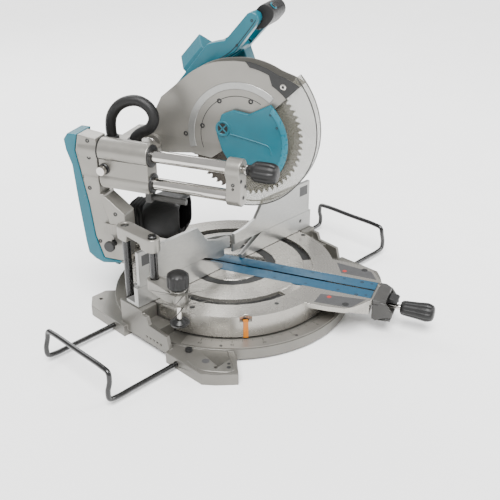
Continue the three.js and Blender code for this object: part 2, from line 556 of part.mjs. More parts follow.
function bevelGrip() {
  const z = RAIL_Z[0];
  const profile = [
    [0, 0], [12, 0], [13, 8], [24, 22], [25, 60], [20, 72], [8, 76], [0, 76],
  ].map(([r, h]) => new THREE.Vector2(r, h));
  const geometry = new THREE.LatheGeometry(profile, 20);
  geometry.rotateX(Math.PI);
  geometry.translate(RAIL_X, RAIL_FRONT - 22, z);
  return join(toSolid(geometry), bar(8, 20, 'y', [RAIL_X, RAIL_FRONT - 24, z], undefined, 16));
}
add(mitre, 'bevel_lock_grip', bevelGrip(), 'black');

function dustChute() {
  const outer = prism('side', up([
    [134, 77], [134, 166], [210, 170], [262, 140], [290, 128], [290, 64], [262, 62], [215, 49], [150, 47],
  ]), -40, 40);
  const mouth = prism('side', up([
    [120, 70], [120, 200], [228, 200], [246, 130], [246, 66], [214, 54], [152, 52], [138, 80],
  ]), -34, 34);
  return cut(outer, mouth, box(-6, 6, 120, 176, TABLE_TOP + 30, TABLE_TOP + 90));
}
add(mitre, 'dust_chute', dustChute(), 'rubber');

add(mitre, 'bevel_scale', prism('side', up([[262, 136], [258, 162], [222, 160], [222, 132]]), ARM_X[0] - 1.8, ARM_X[0] - GAP), 'plate');
add(mitre, 'bevel_release_knob', join(
  bar(7, 36, 'x', [ARM_X[0] - 18, ...KNOB_YZ], undefined, 16),
  bar(14, 9, 'x', [ARM_X[0] - 27, ...KNOB_YZ]),
), 'black');

// ---- Carriage ----

function carriageBody() {
  const [y0, y1] = CARRIAGE_Y;
  const [zt, zb] = RAIL_Z;
  const tubes = [zt, zb].map((z, i) => bar(HOUSING_R[i], y1 - y0, 'y', [RAIL_X, y0, z], undefined, 32));
  const web = prism('side', [
    [y0, zt], [y1, zt], [y1, zb - 14], [y1 - 6, zb - 20], [y0, zb - 20],
  ], RAIL_X - 24, RAIL_X + 24);
  const block = prism('side', [
    [HINGE_Y - 44, HINGE_Z - 26], [HINGE_Y - 44, HINGE_Z + 12], [HINGE_Y - 14, HINGE_Z + 26],
    [y1, HINGE_Z + 26], [y1, HINGE_Z - 26],
  ], RAIL_X + 10, -62);
  const tail = box(-132, -62, y1 - 4, 292, HINGE_Z - 26, HINGE_Z + 26);
  const bridge = box(-64, 54, HINGE_Y + 50, HINGE_Y + 84, HINGE_Z - 26, HINGE_Z + 14);
  const ear = prism('side', [
    [HINGE_Y - 20, HINGE_Z - 22], [HINGE_Y - 20, HINGE_Z + 22], [HINGE_Y + 84, HINGE_Z + 14],
    [HINGE_Y + 84, HINGE_Z - 26],
  ], 36, 54);
  const bores = [zt, zb].map((z) => bar(RAIL_R + GAP, 220, 'y', [RAIL_X, y0 - 10, z], undefined, 32));
  const pin = bar(10 + GAP, 180, 'x', [-104, HINGE_Y, HINGE_Z], undefined, 16);
  const lock = bar(6 + GAP, 60, 'x', [RAIL_X - 50, LOCK_Y, LOCK_Z], undefined, 16);
  const hoseSeats = HOSE_ENDS.map(([y, z]) => bar(HOSE_R + 0.8, 30, 'z', [HOSE_X, y, z], undefined, 16));
  return cut(join(...tubes, web, block, tail, bridge, ear), ...bores, pin, lock, ...hoseSeats);
}
const LOCK_Y = 246;
const LOCK_Z = TABLE_TOP + 306;
const HOSE_R = 13.5;
const HOSE_X = -104;
const HOSE_FLOOR = HINGE_Z + 14;
const HOSE_ENDS = [[274, HOSE_FLOOR], [212, HOSE_FLOOR]];

add(mitre, 'carriage', carriageBody(), 'casting');
add(mitre, 'carriage_lock_screw', join(
  bar(6, 30, 'x', [RAIL_X - 36, LOCK_Y, LOCK_Z], undefined, 16),
  bar(11, 10, 'x', [RAIL_X - 45, LOCK_Y, LOCK_Z], 12),
), 'steel');
add(mitre, 'head_hinge_pin', bar(10, 154, 'x', [-101, HINGE_Y, HINGE_Z], undefined, 16), 'steel');
add(mitre, 'return_spring', ring(21, 10.6, 22, 'x', [-60, HINGE_Y, HINGE_Z]), 'steel');

function slideStop() {
  const [y0] = CARRIAGE_Y;
  const z = RAIL_Z[1] - 40;
  const housing = bar(HOUSING_R[1] + GAP, 60, 'y', [RAIL_X, y0 - 10, RAIL_Z[1]], undefined, 32);
  const bracket = join(cut(box(RAIL_X - 4, RAIL_X + 22, y0 + 6, y0 + 22, z - 12, RAIL_Z[1] - 20 - GAP), housing),
    bar(9, 20, 'y', [RAIL_X + 9, y0 + 4, z], undefined, 16));
  return join(bracket, bar(8, 88, 'y', [RAIL_X + 9, y0 - 82, z], undefined, 16));
}
add(mitre, 'slide_stop_pin', slideStop(), 'dark');

// ---- Dust hose ----
const HOSE_ROUTE = [
  [HOSE_X, 274, HOSE_FLOOR + GAP], [HOSE_X, 274, 448], [HOSE_X, 276, 472], [HOSE_X, 271, 502], [HOSE_X, 250, 530],
  [HOSE_X, 222, 545], [HOSE_X, 192, 548], [HOSE_X, 166, 535], [HOSE_X, 155, 511], [HOSE_X, 166, 486],
  [HOSE_X, 192, 470], [HOSE_X, 208, 456], [HOSE_X, 212, 444], [HOSE_X, 212, HOSE_FLOOR + GAP],
];
add(mitre, 'dust_hose', tube(HOSE_ROUTE, HOSE_R, 32, 10), 'rubber');

// ---- Saw head ----
function bladeCase() {
  const rimTop = (deg) => (deg < 60 ? 206 - (deg - 44) * 1.1 : 188 + Math.max(0, deg - 100) * 0.3);
  const wallOutline = [
    ...bladeArc(rimTop, 44, 136, 20), [177, TABLE_TOP + 442], [HINGE_Y + 22, TABLE_TOP + 346],
    ...arc(HINGE_Y, HINGE_Z, 24, 20, -110, 8), [150, TABLE_TOP + 300], [98, TABLE_TOP + 306], [44, TABLE_TOP + 300],
    ...bladeArc(54, 218, 350, 8), ...bladeArc(118, 20, 44, 3),
  ];
  const walls = [[-CASE_HALF, -CASE_HALF + 3], [CASE_HALF - 3, CASE_HALF]].map(([a, b]) => prism('side', wallOutline, a, b));
  const barrel = bar(24, 60, 'x', [-30, HINGE_Y, HINGE_Z], undefined, 32);
  const link = prism('side', [
    [150, TABLE_TOP + 300], [150, TABLE_TOP + 398], [190, TABLE_TOP + 402], [HINGE_Y + 20, TABLE_TOP + 345],
    [HINGE_Y, HINGE_Z - 20],
  ], -CASE_HALF + 1, CASE_HALF - 1);
  const clear = bar(195.5, 2 * (CASE_HALF - 3), 'x', [-CASE_HALF + 3, BLADE_Y, BLADE_Z], undefined, 64);
  const solid = join(...walls, cut(link, clear), barrel);
  const pinHole = bar(10 + GAP, 80, 'x', [-40, HINGE_Y, HINGE_Z], undefined, 16);
  const arborHole = bar(31, 60, 'x', [-30, BLADE_Y, BLADE_Z]);
  return cut(solid, pinHole, arborHole);
}
add(mitre, 'blade_case', bladeCase(), 'casting');

function caseInsert() {
  const outline = [...bladeArc((deg) => 206 - (deg - 44) * 1.0, 44, 58, 4), ...bladeArc(190.5, 62, 86, 6),
    ...bladeArc(178, 82, 66, 4), ...bladeArc(160, 60, 44, 4)];
  return prism('side', outline, -CASE_HALF - 2.5, -CASE_HALF - GAP);
}
add(mitre, 'case_insert', caseInsert(), 'black');

function sawBlade() {
  const teeth = 60;
  const outline = [];
  for (let i = 0; i < teeth; i += 1) {
    const step = (2 * Math.PI) / teeth;
    for (const [r, t] of [[BLADE_R, 0], [BLADE_R - 2.5, 0.4], [BLADE_R - 9, 0.7]]) {
      const a = (i + t) * step;
      outline.push([BLADE_Y - r * Math.cos(a), BLADE_Z + r * Math.sin(a)]);
    }
  }
  const disc = prism('side', outline, -BLADE_T / 2, BLADE_T / 2);
  return cut(disc, bar(12.7 + GAP, 10, 'x', [-5, BLADE_Y, BLADE_Z]));
}
add(mitre, 'saw_blade', sawBlade(), 'blade');
add(mitre, 'arbor', join(
  bar(12.7, 60, 'x', [-8, BLADE_Y, BLADE_Z]), bar(26, 6, 'x', [-BLADE_T / 2 - GAP - 6, BLADE_Y, BLADE_Z]),
  bar(26, 5, 'x', [BLADE_T / 2 + GAP, BLADE_Y, BLADE_Z]), bar(9, 8, 'x', [-15, BLADE_Y, BLADE_Z], undefined, 6),
), 'steel');

// The guard's rim grows from its lower end to its upper end.
const guardRim = (deg) => 178 + 36 * Math.max(0, (deg + 40) / 92) ** 1.25;
const GUARD_SPAN = [-101, 50];
function lowerGuard() {
  const [from, to] = GUARD_SPAN;
  const outer = [...bladeArc(guardRim, from, to, 28), ...bladeArc(96, to, from, 16)];
  const inner = [...bladeArc((deg) => guardRim(deg) - 3, from - 3, to + 3, 30), ...bladeArc(80, to + 3, from - 3, 16)];
  const shell = cut(prism('side', outer, -GUARD_HALF, GUARD_HALF), prism('side', inner, -GUARD_HALF + 2, GUARD_HALF - 2));
  return shell;
}
add(mitre, 'lower_guard', lowerGuard(), 'guard');

function centreCover() {
  const outline = [
    ...bladeArc(133, 50, -48, 12).map(([y, z]) => [y, z]), [-60, TABLE_TOP + 276], [-20, TABLE_TOP + 286],
    [10, TABLE_TOP + 330], [24, TABLE_TOP + 372], [10, TABLE_TOP + 420], [-20, TABLE_TOP + 433], [-60, TABLE_TOP + 428],
  ];
  const shrink = outline.map(([y, z]) => {
    const dy = y - BLADE_Y;
    const dz = z - BLADE_Z;
    const r = Math.hypot(dy, dz);
    const k = Math.min(r, 118 + 15 * Math.max(0, (dz / r - 0.3))) / r;
    return [BLADE_Y + dy * k, BLADE_Z + dz * k];
  });
  const plate = prism('side', shrink, -CASE_HALF - 14, -CASE_HALF - 3);
  return plate;
}
add(mitre, 'centre_cover', centreCover(), 'teal');

// ---- Drive: motor behind and above the blade axis, geared down to the arbor ----
const MOTOR_Y = 6;
const MOTOR_Z = TABLE_TOP + 401;
const MOTOR_R = 50;
const GEAR_SPAN = Math.hypot(MOTOR_Y - BLADE_Y, MOTOR_Z - BLADE_Z);
const PINION_TEETH = 12;
const GEAR_TEETH = 36;
const GEAR_MODULE = (2 * GEAR_SPAN) / (PINION_TEETH + GEAR_TEETH);
const GEAR_X = [38, 50];

function gearWheel(teeth, cy, cz, phase, bore, x0, x1) {
  const pitch = (teeth * GEAR_MODULE) / 2;
  const outline = [];
  for (let i = 0; i < teeth; i += 1) {
    for (const [t, h] of [[-0.18, 0.62], [0.18, 0.62], [0.32, -0.85], [0.68, -0.85]]) {
      const a = ((i + t) * 2 * Math.PI) / teeth + phase;
      outline.push([cy + (pitch + h * GEAR_MODULE) * Math.cos(a), cz + (pitch + h * GEAR_MODULE) * Math.sin(a)]);
    }
  }
  return cut(prism('side', outline, x0, x1), bar(bore, 60, 'x', [x0 - 20, cy, cz]));
}
const gearLine = Math.atan2(MOTOR_Z - BLADE_Z, MOTOR_Y - BLADE_Y);
add(mitre, 'drive_gear', gearWheel(GEAR_TEETH, BLADE_Y, BLADE_Z, gearLine + Math.PI / GEAR_TEETH, 12.7 + GAP,
  GEAR_X[0], GEAR_X[1]), 'steel');

function gearHousing() {
  const lobes = (shrink, x0, x1) => {
    const square = [Math.sin(gearLine), -Math.cos(gearLine)];
    const corner = (y, z, r) => [y + square[0] * r, z + square[1] * r];
    const [a, b] = [50 - shrink, 52 - shrink];
    return join(
      bar(a, x1 - x0, 'x', [x0, BLADE_Y, BLADE_Z], undefined, 32),
      bar(b, x1 - x0, 'x', [x0, MOTOR_Y, MOTOR_Z], undefined, 32),
      prism('side', [corner(BLADE_Y, BLADE_Z, a), corner(MOTOR_Y, MOTOR_Z, b), corner(MOTOR_Y, MOTOR_Z, -b),
        corner(BLADE_Y, BLADE_Z, -a)], x0, x1),
    );
  };
  const foot = box(CASE_HALF + GAP, 34, MOTOR_Y - 6, MOTOR_Y + 60, MOTOR_Z + 20, MOTOR_Z + 48);
  return cut(join(lobes(0, CASE_HALF + GAP, 58), foot), lobes(4.5, CASE_HALF + 5, 54),
    bar(14, 60, 'x', [10, BLADE_Y, BLADE_Z]), bar(MOTOR_R - 8, 20, 'x', [50, MOTOR_Y, MOTOR_Z]),
    bar(16, 30, 'x', [10, BLADE_Y, BLADE_Z]));
}
add(mitre, 'gear_housing', gearHousing(), 'casting');

const MOTOR_X = [58 + GAP, 176];
function motorHousing() {
  const shell = cut(bar(MOTOR_R, MOTOR_X[1] - MOTOR_X[0], 'x', [MOTOR_X[0], MOTOR_Y, MOTOR_Z], undefined, 32),
    bar(MOTOR_R - 4, 200, 'x', [MOTOR_X[0] - 10, MOTOR_Y, MOTOR_Z], undefined, 32));
  const cap = cut(bar(MOTOR_R, 5, 'x', [MOTOR_X[1] - 1, MOTOR_Y, MOTOR_Z], MOTOR_R - 6, 32),
    ...[-28, -14, 0, 14, 28].map((z) => box(150, 200, MOTOR_Y - 30, MOTOR_Y + 30, MOTOR_Z + z - 3, MOTOR_Z + z + 3)));
  return join(shell, cap);
}
add(mitre, 'motor_housing', motorHousing(), 'teal');
add(mitre, 'motor_stator', ring(MOTOR_R - 5, 29, 64, 'x', [MOTOR_X[0] + 20, MOTOR_Y, MOTOR_Z], 32), 'dark');
add(mitre, 'motor_rotor', join(
  bar(27.5, 60, 'x', [MOTOR_X[0] + 22, MOTOR_Y, MOTOR_Z], undefined, 32),
  bar(6, 130, 'x', [36, MOTOR_Y, MOTOR_Z], undefined, 16),
  gearWheel(PINION_TEETH, MOTOR_Y, MOTOR_Z, gearLine + Math.PI, 1, GEAR_X[0], GEAR_X[1]),
), 'steel');

// ---- Handle and battery housing. The spine climbs forward over the blade case ----
const SPINE_X = [CASE_HALF + GAP, CASE_HALF + 32];
const HANDLE_X = 138;                       // right side of the D handle
const SPINE_DIR = [-0.66, 0.75];            // forward and up along the spine
const GRIP_YZ = [-60, TABLE_TOP + 638];

// A point in the side view from a distance along the spine and one square to it.
const onSpine = (y, z, along, square) => [
  y + SPINE_DIR[0] * along + SPINE_DIR[1] * square, z + SPINE_DIR[1] * along - SPINE_DIR[0] * square,
];

function roundedBar(cy, cz, half, r, steps = 8) {
  const lean = THREE.MathUtils.radToDeg(Math.atan2(SPINE_DIR[1], SPINE_DIR[0]));
  const [fy, fz] = onSpine(cy, cz, half, 0);
  const [by, bz] = onSpine(cy, cz, -half, 0);
  return [...arc(fy, fz, r, lean - 90, lean + 90, steps), ...arc(by, bz, r, lean + 90, lean + 270, steps)];
}

// The bay is a box set cornerwise on the spine's right side and open at its lower rear end.
function batteryBay() {
  const [y0, z0] = [93, TABLE_TOP + 542];
  const section = [[56.3, 13], [95, 45], [126, -3], [71, -48], [56.3, -35]];
  const hollow = [[61, 11], [94, 38], [119.5, -3], [71, -41], [61, -32]];
  const solid = (points, from, to) => {
    const geometry = new THREE.ExtrudeGeometry(shapeOf(points), { depth: to - from, bevelEnabled: false });
    const across = new THREE.Vector3(0, SPINE_DIR[1], -SPINE_DIR[0]);
    const back = new THREE.Vector3().crossVectors(AXES.x, across);
    geometry.translate(0, 0, from);
    geometry.applyMatrix4(new THREE.Matrix4().makeBasis(AXES.x, across, back));
    geometry.translate(0, y0, z0);
    return toSolid(geometry);
  };
  const room = [[56, 14], [95, 46], [127, -3], [71, -49], [56, -36]];
  return [solid(section, -76, 6), solid(hollow, -90, 0), solid(room, -100, 6 + GAP)];
}
const [bayOuter, bayInner, bayRoom] = batteryBay();
add(mitre, 'battery_bay', cut(bayOuter, bayInner), 'teal');

function handleSpine() {
  const leftArm = prism('side', up([
    [172, 448], [150, 426], [44, 528], [-2, 556], [-56, 624], [-62, 636], [-58, 648], [-46, 654], [-34, 649],
    [24, 582], [50, 576], [70, 570], [150, 472],
  ]), SPINE_X[0], SPINE_X[1]);
  const rightArm = prism('side', up([[30, 528], [-2, 552], [-50, 606], [-26, 634], [14, 600], [62, 548]]),
    HANDLE_X - 28, HANDLE_X);
  const bridge = prism('side', up([[30, 528], [-2, 552], [-6, 560], [14, 582], [62, 560], [76, 548]]),
    SPINE_X[1] - 2, HANDLE_X);
  const strut = prism('side', up([[-2, 552], [-16, 514], [-22, 430], [40, 430], [56, 500], [74, 549]]), 82, HANDLE_X - 8);
  const flange = prism('side', up([[112, 430], [52, 462], [44, 528], [90, 500], [150, 440], [150, 424]]),
    SPINE_X[0], SPINE_X[0] + 12);
  const motor = bar(MOTOR_R + GAP, 200, 'x', [MOTOR_X[0] - 10, MOTOR_Y, MOTOR_Z], undefined, 32);
  return cut(join(leftArm, rightArm, bridge, strut, flange), motor, bayRoom);
}
add(mitre, 'handle_spine', handleSpine(), 'teal');

function handGrip() {
  const outline = roundedBar(...GRIP_YZ, 9, 22, 8);
  const body = prism('side', outline, SPINE_X[1] + GAP, HANDLE_X + 2);
  const nose = prism('side', roundedBar(...GRIP_YZ, 8, 17, 8), HANDLE_X + 1, HANDLE_X + 8);
  const spineClear = prism('side', up([[30, 526], [-2, 550], [-52, 605.5], [-26, 635.5], [16, 602], [64, 548]]),
    HANDLE_X - 28 - GAP, HANDLE_X + GAP);
  const trigger = prism('side', triggerOutline(1.2), TRIGGER_X[0] - RUN, TRIGGER_X[1] + RUN);
  const button = bar(7 + GAP, 30, LOCK_DIR, lockPoint(-12), undefined, 16);
  return cut(join(body, nose), spineClear, trigger, button);
}
const TRIGGER_X = [66, 106];
function triggerOutline(grow) {
  const [y, z] = onSpine(...GRIP_YZ, -31, 0);
  return [
    onSpine(y, z, -3 - grow, -13 - grow), onSpine(y, z, 20, -13 - grow), onSpine(y, z, 20, 13 + grow),
    onSpine(y, z, -3 - grow, 13 + grow), onSpine(y, z, -6 - grow, 0),
  ];
}
const LOCK_DIR = new THREE.Vector3(0, SPINE_DIR[0], SPINE_DIR[1]);
const lockPoint = (out) => {
  const [y, z] = onSpine(...GRIP_YZ, 31 + out, 0);
  return [72, y, z];
};
add(mitre, 'hand_grip', handGrip(), 'rubber');

function triggerSwitch() {
  const [y, z] = onSpine(...GRIP_YZ, -31, 0);
  return prism('side', [
    onSpine(y, z, -3, -13), onSpine(y, z, 13, -13), onSpine(y, z, 13, 13), onSpine(y, z, -3, 13),
    onSpine(y, z, -8, 6), onSpine(y, z, -8, -6),
  ], TRIGGER_X[0], TRIGGER_X[1]);
}
add(mitre, 'trigger_switch', triggerSwitch(), 'black');
add(mitre, 'lock_off_button', bar(7, 12, LOCK_DIR, lockPoint(-7), 6, 16), 'black');

base.position.z = 0;
const group = new THREE.Group();
group.name = 'sliding_mitre_saw';
group.add(base, mitre);

export default group;
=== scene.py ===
# A sliding compound mitre saw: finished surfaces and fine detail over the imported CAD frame.
# Shapes are in millimetres. They stand in the mitre frame, which is turned with the saw's arm (x across,
# -y to the operator), unless they are given PLAIN, the base's own frame.
import json
import math

import bmesh
import bpy
from mathutils import Matrix, Vector

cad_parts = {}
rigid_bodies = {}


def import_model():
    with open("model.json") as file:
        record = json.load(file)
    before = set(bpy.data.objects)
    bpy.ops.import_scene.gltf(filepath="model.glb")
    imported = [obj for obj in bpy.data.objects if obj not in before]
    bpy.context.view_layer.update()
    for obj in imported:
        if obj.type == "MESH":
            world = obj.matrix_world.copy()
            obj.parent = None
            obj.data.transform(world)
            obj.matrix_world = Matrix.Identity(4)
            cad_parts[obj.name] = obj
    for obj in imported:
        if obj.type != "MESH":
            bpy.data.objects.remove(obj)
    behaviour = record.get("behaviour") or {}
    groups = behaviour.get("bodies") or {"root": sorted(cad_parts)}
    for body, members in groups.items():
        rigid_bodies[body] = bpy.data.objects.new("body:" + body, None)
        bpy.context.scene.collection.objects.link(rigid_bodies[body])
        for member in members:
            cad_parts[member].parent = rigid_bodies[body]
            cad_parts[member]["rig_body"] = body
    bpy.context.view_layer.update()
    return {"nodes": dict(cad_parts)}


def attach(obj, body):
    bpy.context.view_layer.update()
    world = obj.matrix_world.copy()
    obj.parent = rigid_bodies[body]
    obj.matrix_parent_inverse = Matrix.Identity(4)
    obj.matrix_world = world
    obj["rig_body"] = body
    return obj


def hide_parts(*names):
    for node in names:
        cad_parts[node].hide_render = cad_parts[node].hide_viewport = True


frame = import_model()

MITRE_DEG = 22.5
TURN = Matrix.Rotation(math.radians(MITRE_DEG), 4, "Z") @ Matrix.Scale(0.001, 4)
PLAIN = Matrix.Scale(0.001, 4)
TOP = 96                    # table top
AXIS = (-34, 457)           # blade axis (y, z)
HINGE = (205, 416)          # head hinge (y, z)
RAILS = (-171, 442, 373)    # x, upper z, lower z


# ---- Camera ----
CAMERA_AZIMUTH, CAMERA_ELEVATION = -45.82, 27.54
CAMERA_DISTANCE = 2.13364
CAMERA_OFFSET = (0.021925, 0.0164875)   # sideways and up, as shares of the distance


def camera():
    a, e = math.radians(CAMERA_AZIMUTH), math.radians(CAMERA_ELEVATION)
    right = Vector((math.cos(a), math.sin(a), 0))
    back = Vector((math.sin(a) * math.cos(e), -math.cos(a) * math.cos(e), math.sin(e)))
    up = back.cross(right)
    data = bpy.data.cameras.new("camera")
    data.lens, data.sensor_width = 57.6, 36
    data.dof.use_dof = False
    cam = bpy.data.objects.new("camera", data)
    bpy.context.scene.collection.objects.link(cam)
    turn = Matrix((right, up, back)).transposed().to_4x4()
    aside, above = CAMERA_OFFSET
    target = Vector((0, 0, TOP / 1000))
    place = target + (back + right * aside + up * above) * CAMERA_DISTANCE
    cam.matrix_world = Matrix.Translation(place) @ turn
    bpy.context.scene.camera = cam


camera()


# ---- Materials ----
def material(name, colour, rough, metal=0.0, spread=0.12, blotch=30, grain=600, bump=0.12, lines=None,
             coat=0.0, alpha=1.0, wear=0.0, specular=0.5, rough_spread=0.08):
    """Base colour, roughness and normal all vary over the surface.

    lines is (kind, axis, period in mm): "rings" are turned about the mitre axis, and "brush" runs along axis,
    where "M" is the mitre frame's y.
    """
    m = bpy.data.materials.new(name)
    m.use_nodes = True
    t = m.node_tree
    n, link = t.nodes, t.links
    shader = n["Principled BSDF"]
    shader.inputs["Metallic"].default_value = metal
    shader.inputs["Coat Weight"].default_value = coat
    shader.inputs["Coat Roughness"].default_value = 0.12
    shader.inputs["Specular IOR Level"].default_value = specular
    shader.inputs["Alpha"].default_value = alpha
    where = n.new("ShaderNodeTexCoord").outputs["Object"]

    def noise(scale, detail, source=where):
        x = n.new("ShaderNodeTexNoise")
        x.inputs["Scale"].default_value = scale
        x.inputs["Detail"].default_value = detail
        link.new(source, x.inputs["Vector"])
        return x.outputs["Fac"]

    def spread_to(source, low, high, lo=0.3, hi=0.7):
        x = n.new("ShaderNodeMapRange")
        for key, v in (("From Min", lo), ("From Max", hi), ("To Min", low), ("To Max", high)):
            x.inputs[key].default_value = v
        link.new(source, x.inputs["Value"])
        return x.outputs["Result"]

    def blend(fac, a, b):
        x = n.new("ShaderNodeMix")
        x.data_type = "RGBA"
        link.new(fac, x.inputs["Factor"])
        for key, v in ((6, a), (7, b)):
            if isinstance(v, tuple):
                x.inputs[key].default_value = (*v, 1)
            else:
                link.new(v, x.inputs[key])
        return x.outputs[2]

    dark = tuple(c * (1 - spread) for c in colour)
    light = tuple(min(1, c * (1 + spread)) for c in colour)
    tint = blend(spread_to(noise(blotch, 4), 0, 1), dark, light)
    height = noise(grain, 3)
    if lines:
        kind, at, period = lines
        if kind == "rings":
            wave = n.new("ShaderNodeTexWave")
            wave.wave_type, wave.rings_direction = "RINGS", "Z"
            wave.inputs["Scale"].default_value = 314 / period
            wave.inputs["Distortion"].default_value = 0.4
            wave.inputs["Detail"].default_value = 3
            link.new(where, wave.inputs["Vector"])
            streak = wave.outputs["Fac"]
        else:
            stretch = n.new("ShaderNodeMapping")
            along = "Y" if at == "M" else at
            squeeze = tuple(1 if axis == along else 8 / period for axis in "XYZ")
            stretch.inputs["Scale"].default_value = squeeze
            if at == "M":
                stretch.inputs["Rotation"].default_value = (0, 0, math.radians(-MITRE_DEG))
            link.new(where, stretch.inputs["Vector"])
            streak = noise(90, 5, stretch.outputs["Vector"])
        strength = 0.5 if kind == "brush" else 0.3
        tint = blend(spread_to(streak, 0, strength), tint, tuple(c * 0.8 for c in colour))
        height = streak
    if wear:
        edge = n.new("ShaderNodeNewGeometry").outputs["Pointiness"]
        worn = tuple(min(1, c * 1.5 + 0.08) for c in colour)
        tint = blend(spread_to(edge, 0, wear, 0.52, 0.6), tint, worn)
    link.new(tint, shader.inputs["Base Color"])
    link.new(spread_to(noise(blotch * 4, 5), max(0.02, rough - rough_spread), min(1, rough + rough_spread)),
             shader.inputs["Roughness"])
    x = n.new("ShaderNodeBump")
    x.inputs["Strength"].default_value = bump
    x.inputs["Distance"].default_value = 0.0004
    link.new(height, x.inputs["Height"])
    link.new(x.outputs["Normal"], shader.inputs["Normal"])
    return m


TEAL = (0.0, 0.085, 0.118)
MAT = {
    "cast_alloy": material("cast_alloy", (0.225, 0.216, 0.196), 0.34, 0.66, 0.05, 18, 900, 0.12,
        wear=0.25, rough_spread=0.04),
    "base_alloy": material("base_alloy", (0.150, 0.144, 0.129), 0.34, 0.62, 0.06, 18, 900, 0.15,
        wear=0.25, rough_spread=0.04),
    "machined_alloy": material("machined_alloy", (0.36, 0.345, 0.315), 0.27, 0.85, 0.02, 8, 400, 0.008,
        ("rings", None, 8), rough_spread=0.02),
    "milled_alloy": material("milled_alloy", (0.34, 0.34, 0.33), 0.30, 0.75, 0.02, 8, 400, 0.015,
        ("brush", "X", 4), rough_spread=0.02),
    "bright_steel": material("bright_steel", (0.55, 0.53, 0.50), 0.13, 1.0, 0.03, 25, 500, 0.02,
        rough_spread=0.04),
    "teal_plastic": material("teal_plastic", TEAL, 0.38, 0, 0.08, 22, 1400, 0.22, wear=0.2, specular=0.45),
    "teal_light": material("teal_light", (0.006, 0.125, 0.175), 0.30, 0, 0.05, 22, 1400, 0.2),
    "kerf_board_plastic": material("kerf_board_plastic", (0.0005, 0.048, 0.095), 0.40, 0, 0.06, 30,
        1200, 0.2, ("brush", "M", 5)),
    "black_plastic": material("black_plastic", (0.0028, 0.0028, 0.0028), 0.36, 0, 0.3, 40, 1500, 0.3,
        wear=0.15),
    "black_rubber": material("black_rubber", (0.0028, 0.0026, 0.0026), 0.45, 0, 0.25, 50, 1800, 0.45,
        wear=0.1, specular=0.4),
    "black_rod": material("black_rod", (0.003, 0.003, 0.003), 0.25, 0.2, 0.2, 60, 1500, 0.1, coat=0.5),
    "dark_grey_plastic": material("dark_grey_plastic", (0.028, 0.027, 0.025), 0.42, 0.1, 0.15, 40,
        1300, 0.25, wear=0.2),
    "blade_steel": material("blade_steel", (0.060, 0.054, 0.047), 0.27, 0.9, 0.1, 20, 500, 0.06),
    "guard_plastic": material("guard_plastic", (0.22, 0.212, 0.175), 0.14, 0, 0.05, 12, 300, 0.03,
        alpha=0.30),
    "orange_plastic": material("orange_plastic", (0.42, 0.125, 0.001), 0.34, 0, 0.08, 80, 1500, 0.15),
    "scale_plate": material("scale_plate", (0.22, 0.21, 0.19), 0.32, 0.6, 0.02, 20, 900, 0.01,
        ("rings", None, 6), rough_spread=0.02),
    # Near-black for print, seams and screws, and also painted shade in holes, slits, groove floors and the
    # vent.
    "ink": material("ink", (0.006, 0.006, 0.006), 0.5, 0, 0.2, 60, 1500, 0.1),
    # Grey for the blank labels, and painted shade in the largest hole of each foot.
    "label_grey": material("label_grey", (0.04, 0.04, 0.041), 0.5, 0, 0.1, 60, 1500, 0.1),
    "red_paint": material("red_paint", (0.30, 0.015, 0.01), 0.4, 0, 0.1, 60, 1500, 0.1),
    "carbide": material("carbide", (0.20, 0.19, 0.18), 0.22, 1.0, 0.1, 60, 1500, 0.05),
}


# ---- Mesh helpers ----
CORNER_DEG = 32             # edges sharper than this are rounded
MERGE = 2e-5                # metres between points that count as one
KEPT_FACES = ("turntable_casting", "bevel_arm", "base_casting")    # flats left unmerged, to keep recesses open


def made(name, mesh, body, mat, replaces=(), sharp=38):
    """A piece with a material, the body that it rides on and the CAD nodes that it stands for."""
    obj = bpy.data.objects.new(name, mesh)
    bpy.context.scene.collection.objects.link(obj)
    mesh.materials.clear()
    mesh.materials.append(MAT[mat])
    mesh.shade_smooth()
    mesh.set_sharp_from_angle(angle=math.radians(sharp))
    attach(obj, body)
    if replaces:
        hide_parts(*replaces)
    return obj


def bake(obj):
    """The object's mesh with its modifiers applied."""
    dg = bpy.context.evaluated_depsgraph_get()
    mesh = bpy.data.meshes.new_from_object(obj.evaluated_get(dg), depsgraph=dg)
    obj.modifiers.clear()
    obj.data = mesh
    return mesh


def softened(mesh, width, segments=2):
    """The mesh with its corners rounded by a bevel, and normals weighted so that flats stay flat."""
    obj = bpy.data.objects.new("work", mesh)
    bpy.context.scene.collection.objects.link(obj)
    mesh.shade_smooth()
    b = obj.modifiers.new("bevel", "BEVEL")
    b.width, b.segments, b.limit_method = width / 1000, segments, "ANGLE"
    b.angle_limit, b.use_clamp_overlap, b.miter_outer = math.radians(CORNER_DEG), False, "MITER_SHARP"
    mesh = bake(obj)
    mesh.shade_smooth()
    mesh.set_sharp_from_angle(angle=math.radians(40))
    w = obj.modifiers.new("weights", "WEIGHTED_NORMAL")
    w.keep_sharp = True
    mesh = bake(obj)
    bpy.data.objects.remove(obj)
    return mesh


def refine(node, width, mat, segments):
    """A copy of a CAD node with rounded corners, standing for that node."""
    source = frame["nodes"][node]
    mesh = source.data.copy()
    bm = bmesh.new()
    bm.from_mesh(mesh)
    bmesh.ops.remove_doubles(bm, verts=bm.verts, dist=MERGE)
    bmesh.ops.dissolve_degenerate(bm, edges=bm.edges, dist=MERGE)
    if node not in KEPT_FACES:
        bmesh.ops.dissolve_limit(bm, angle_limit=math.radians(0.7), verts=bm.verts, edges=bm.edges)
    bm.to_mesh(mesh)
    bm.free()
    if width:
        mesh = softened(mesh, width, segments)
    made(f"{node}_finish", mesh, source["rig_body"], mat, [node])


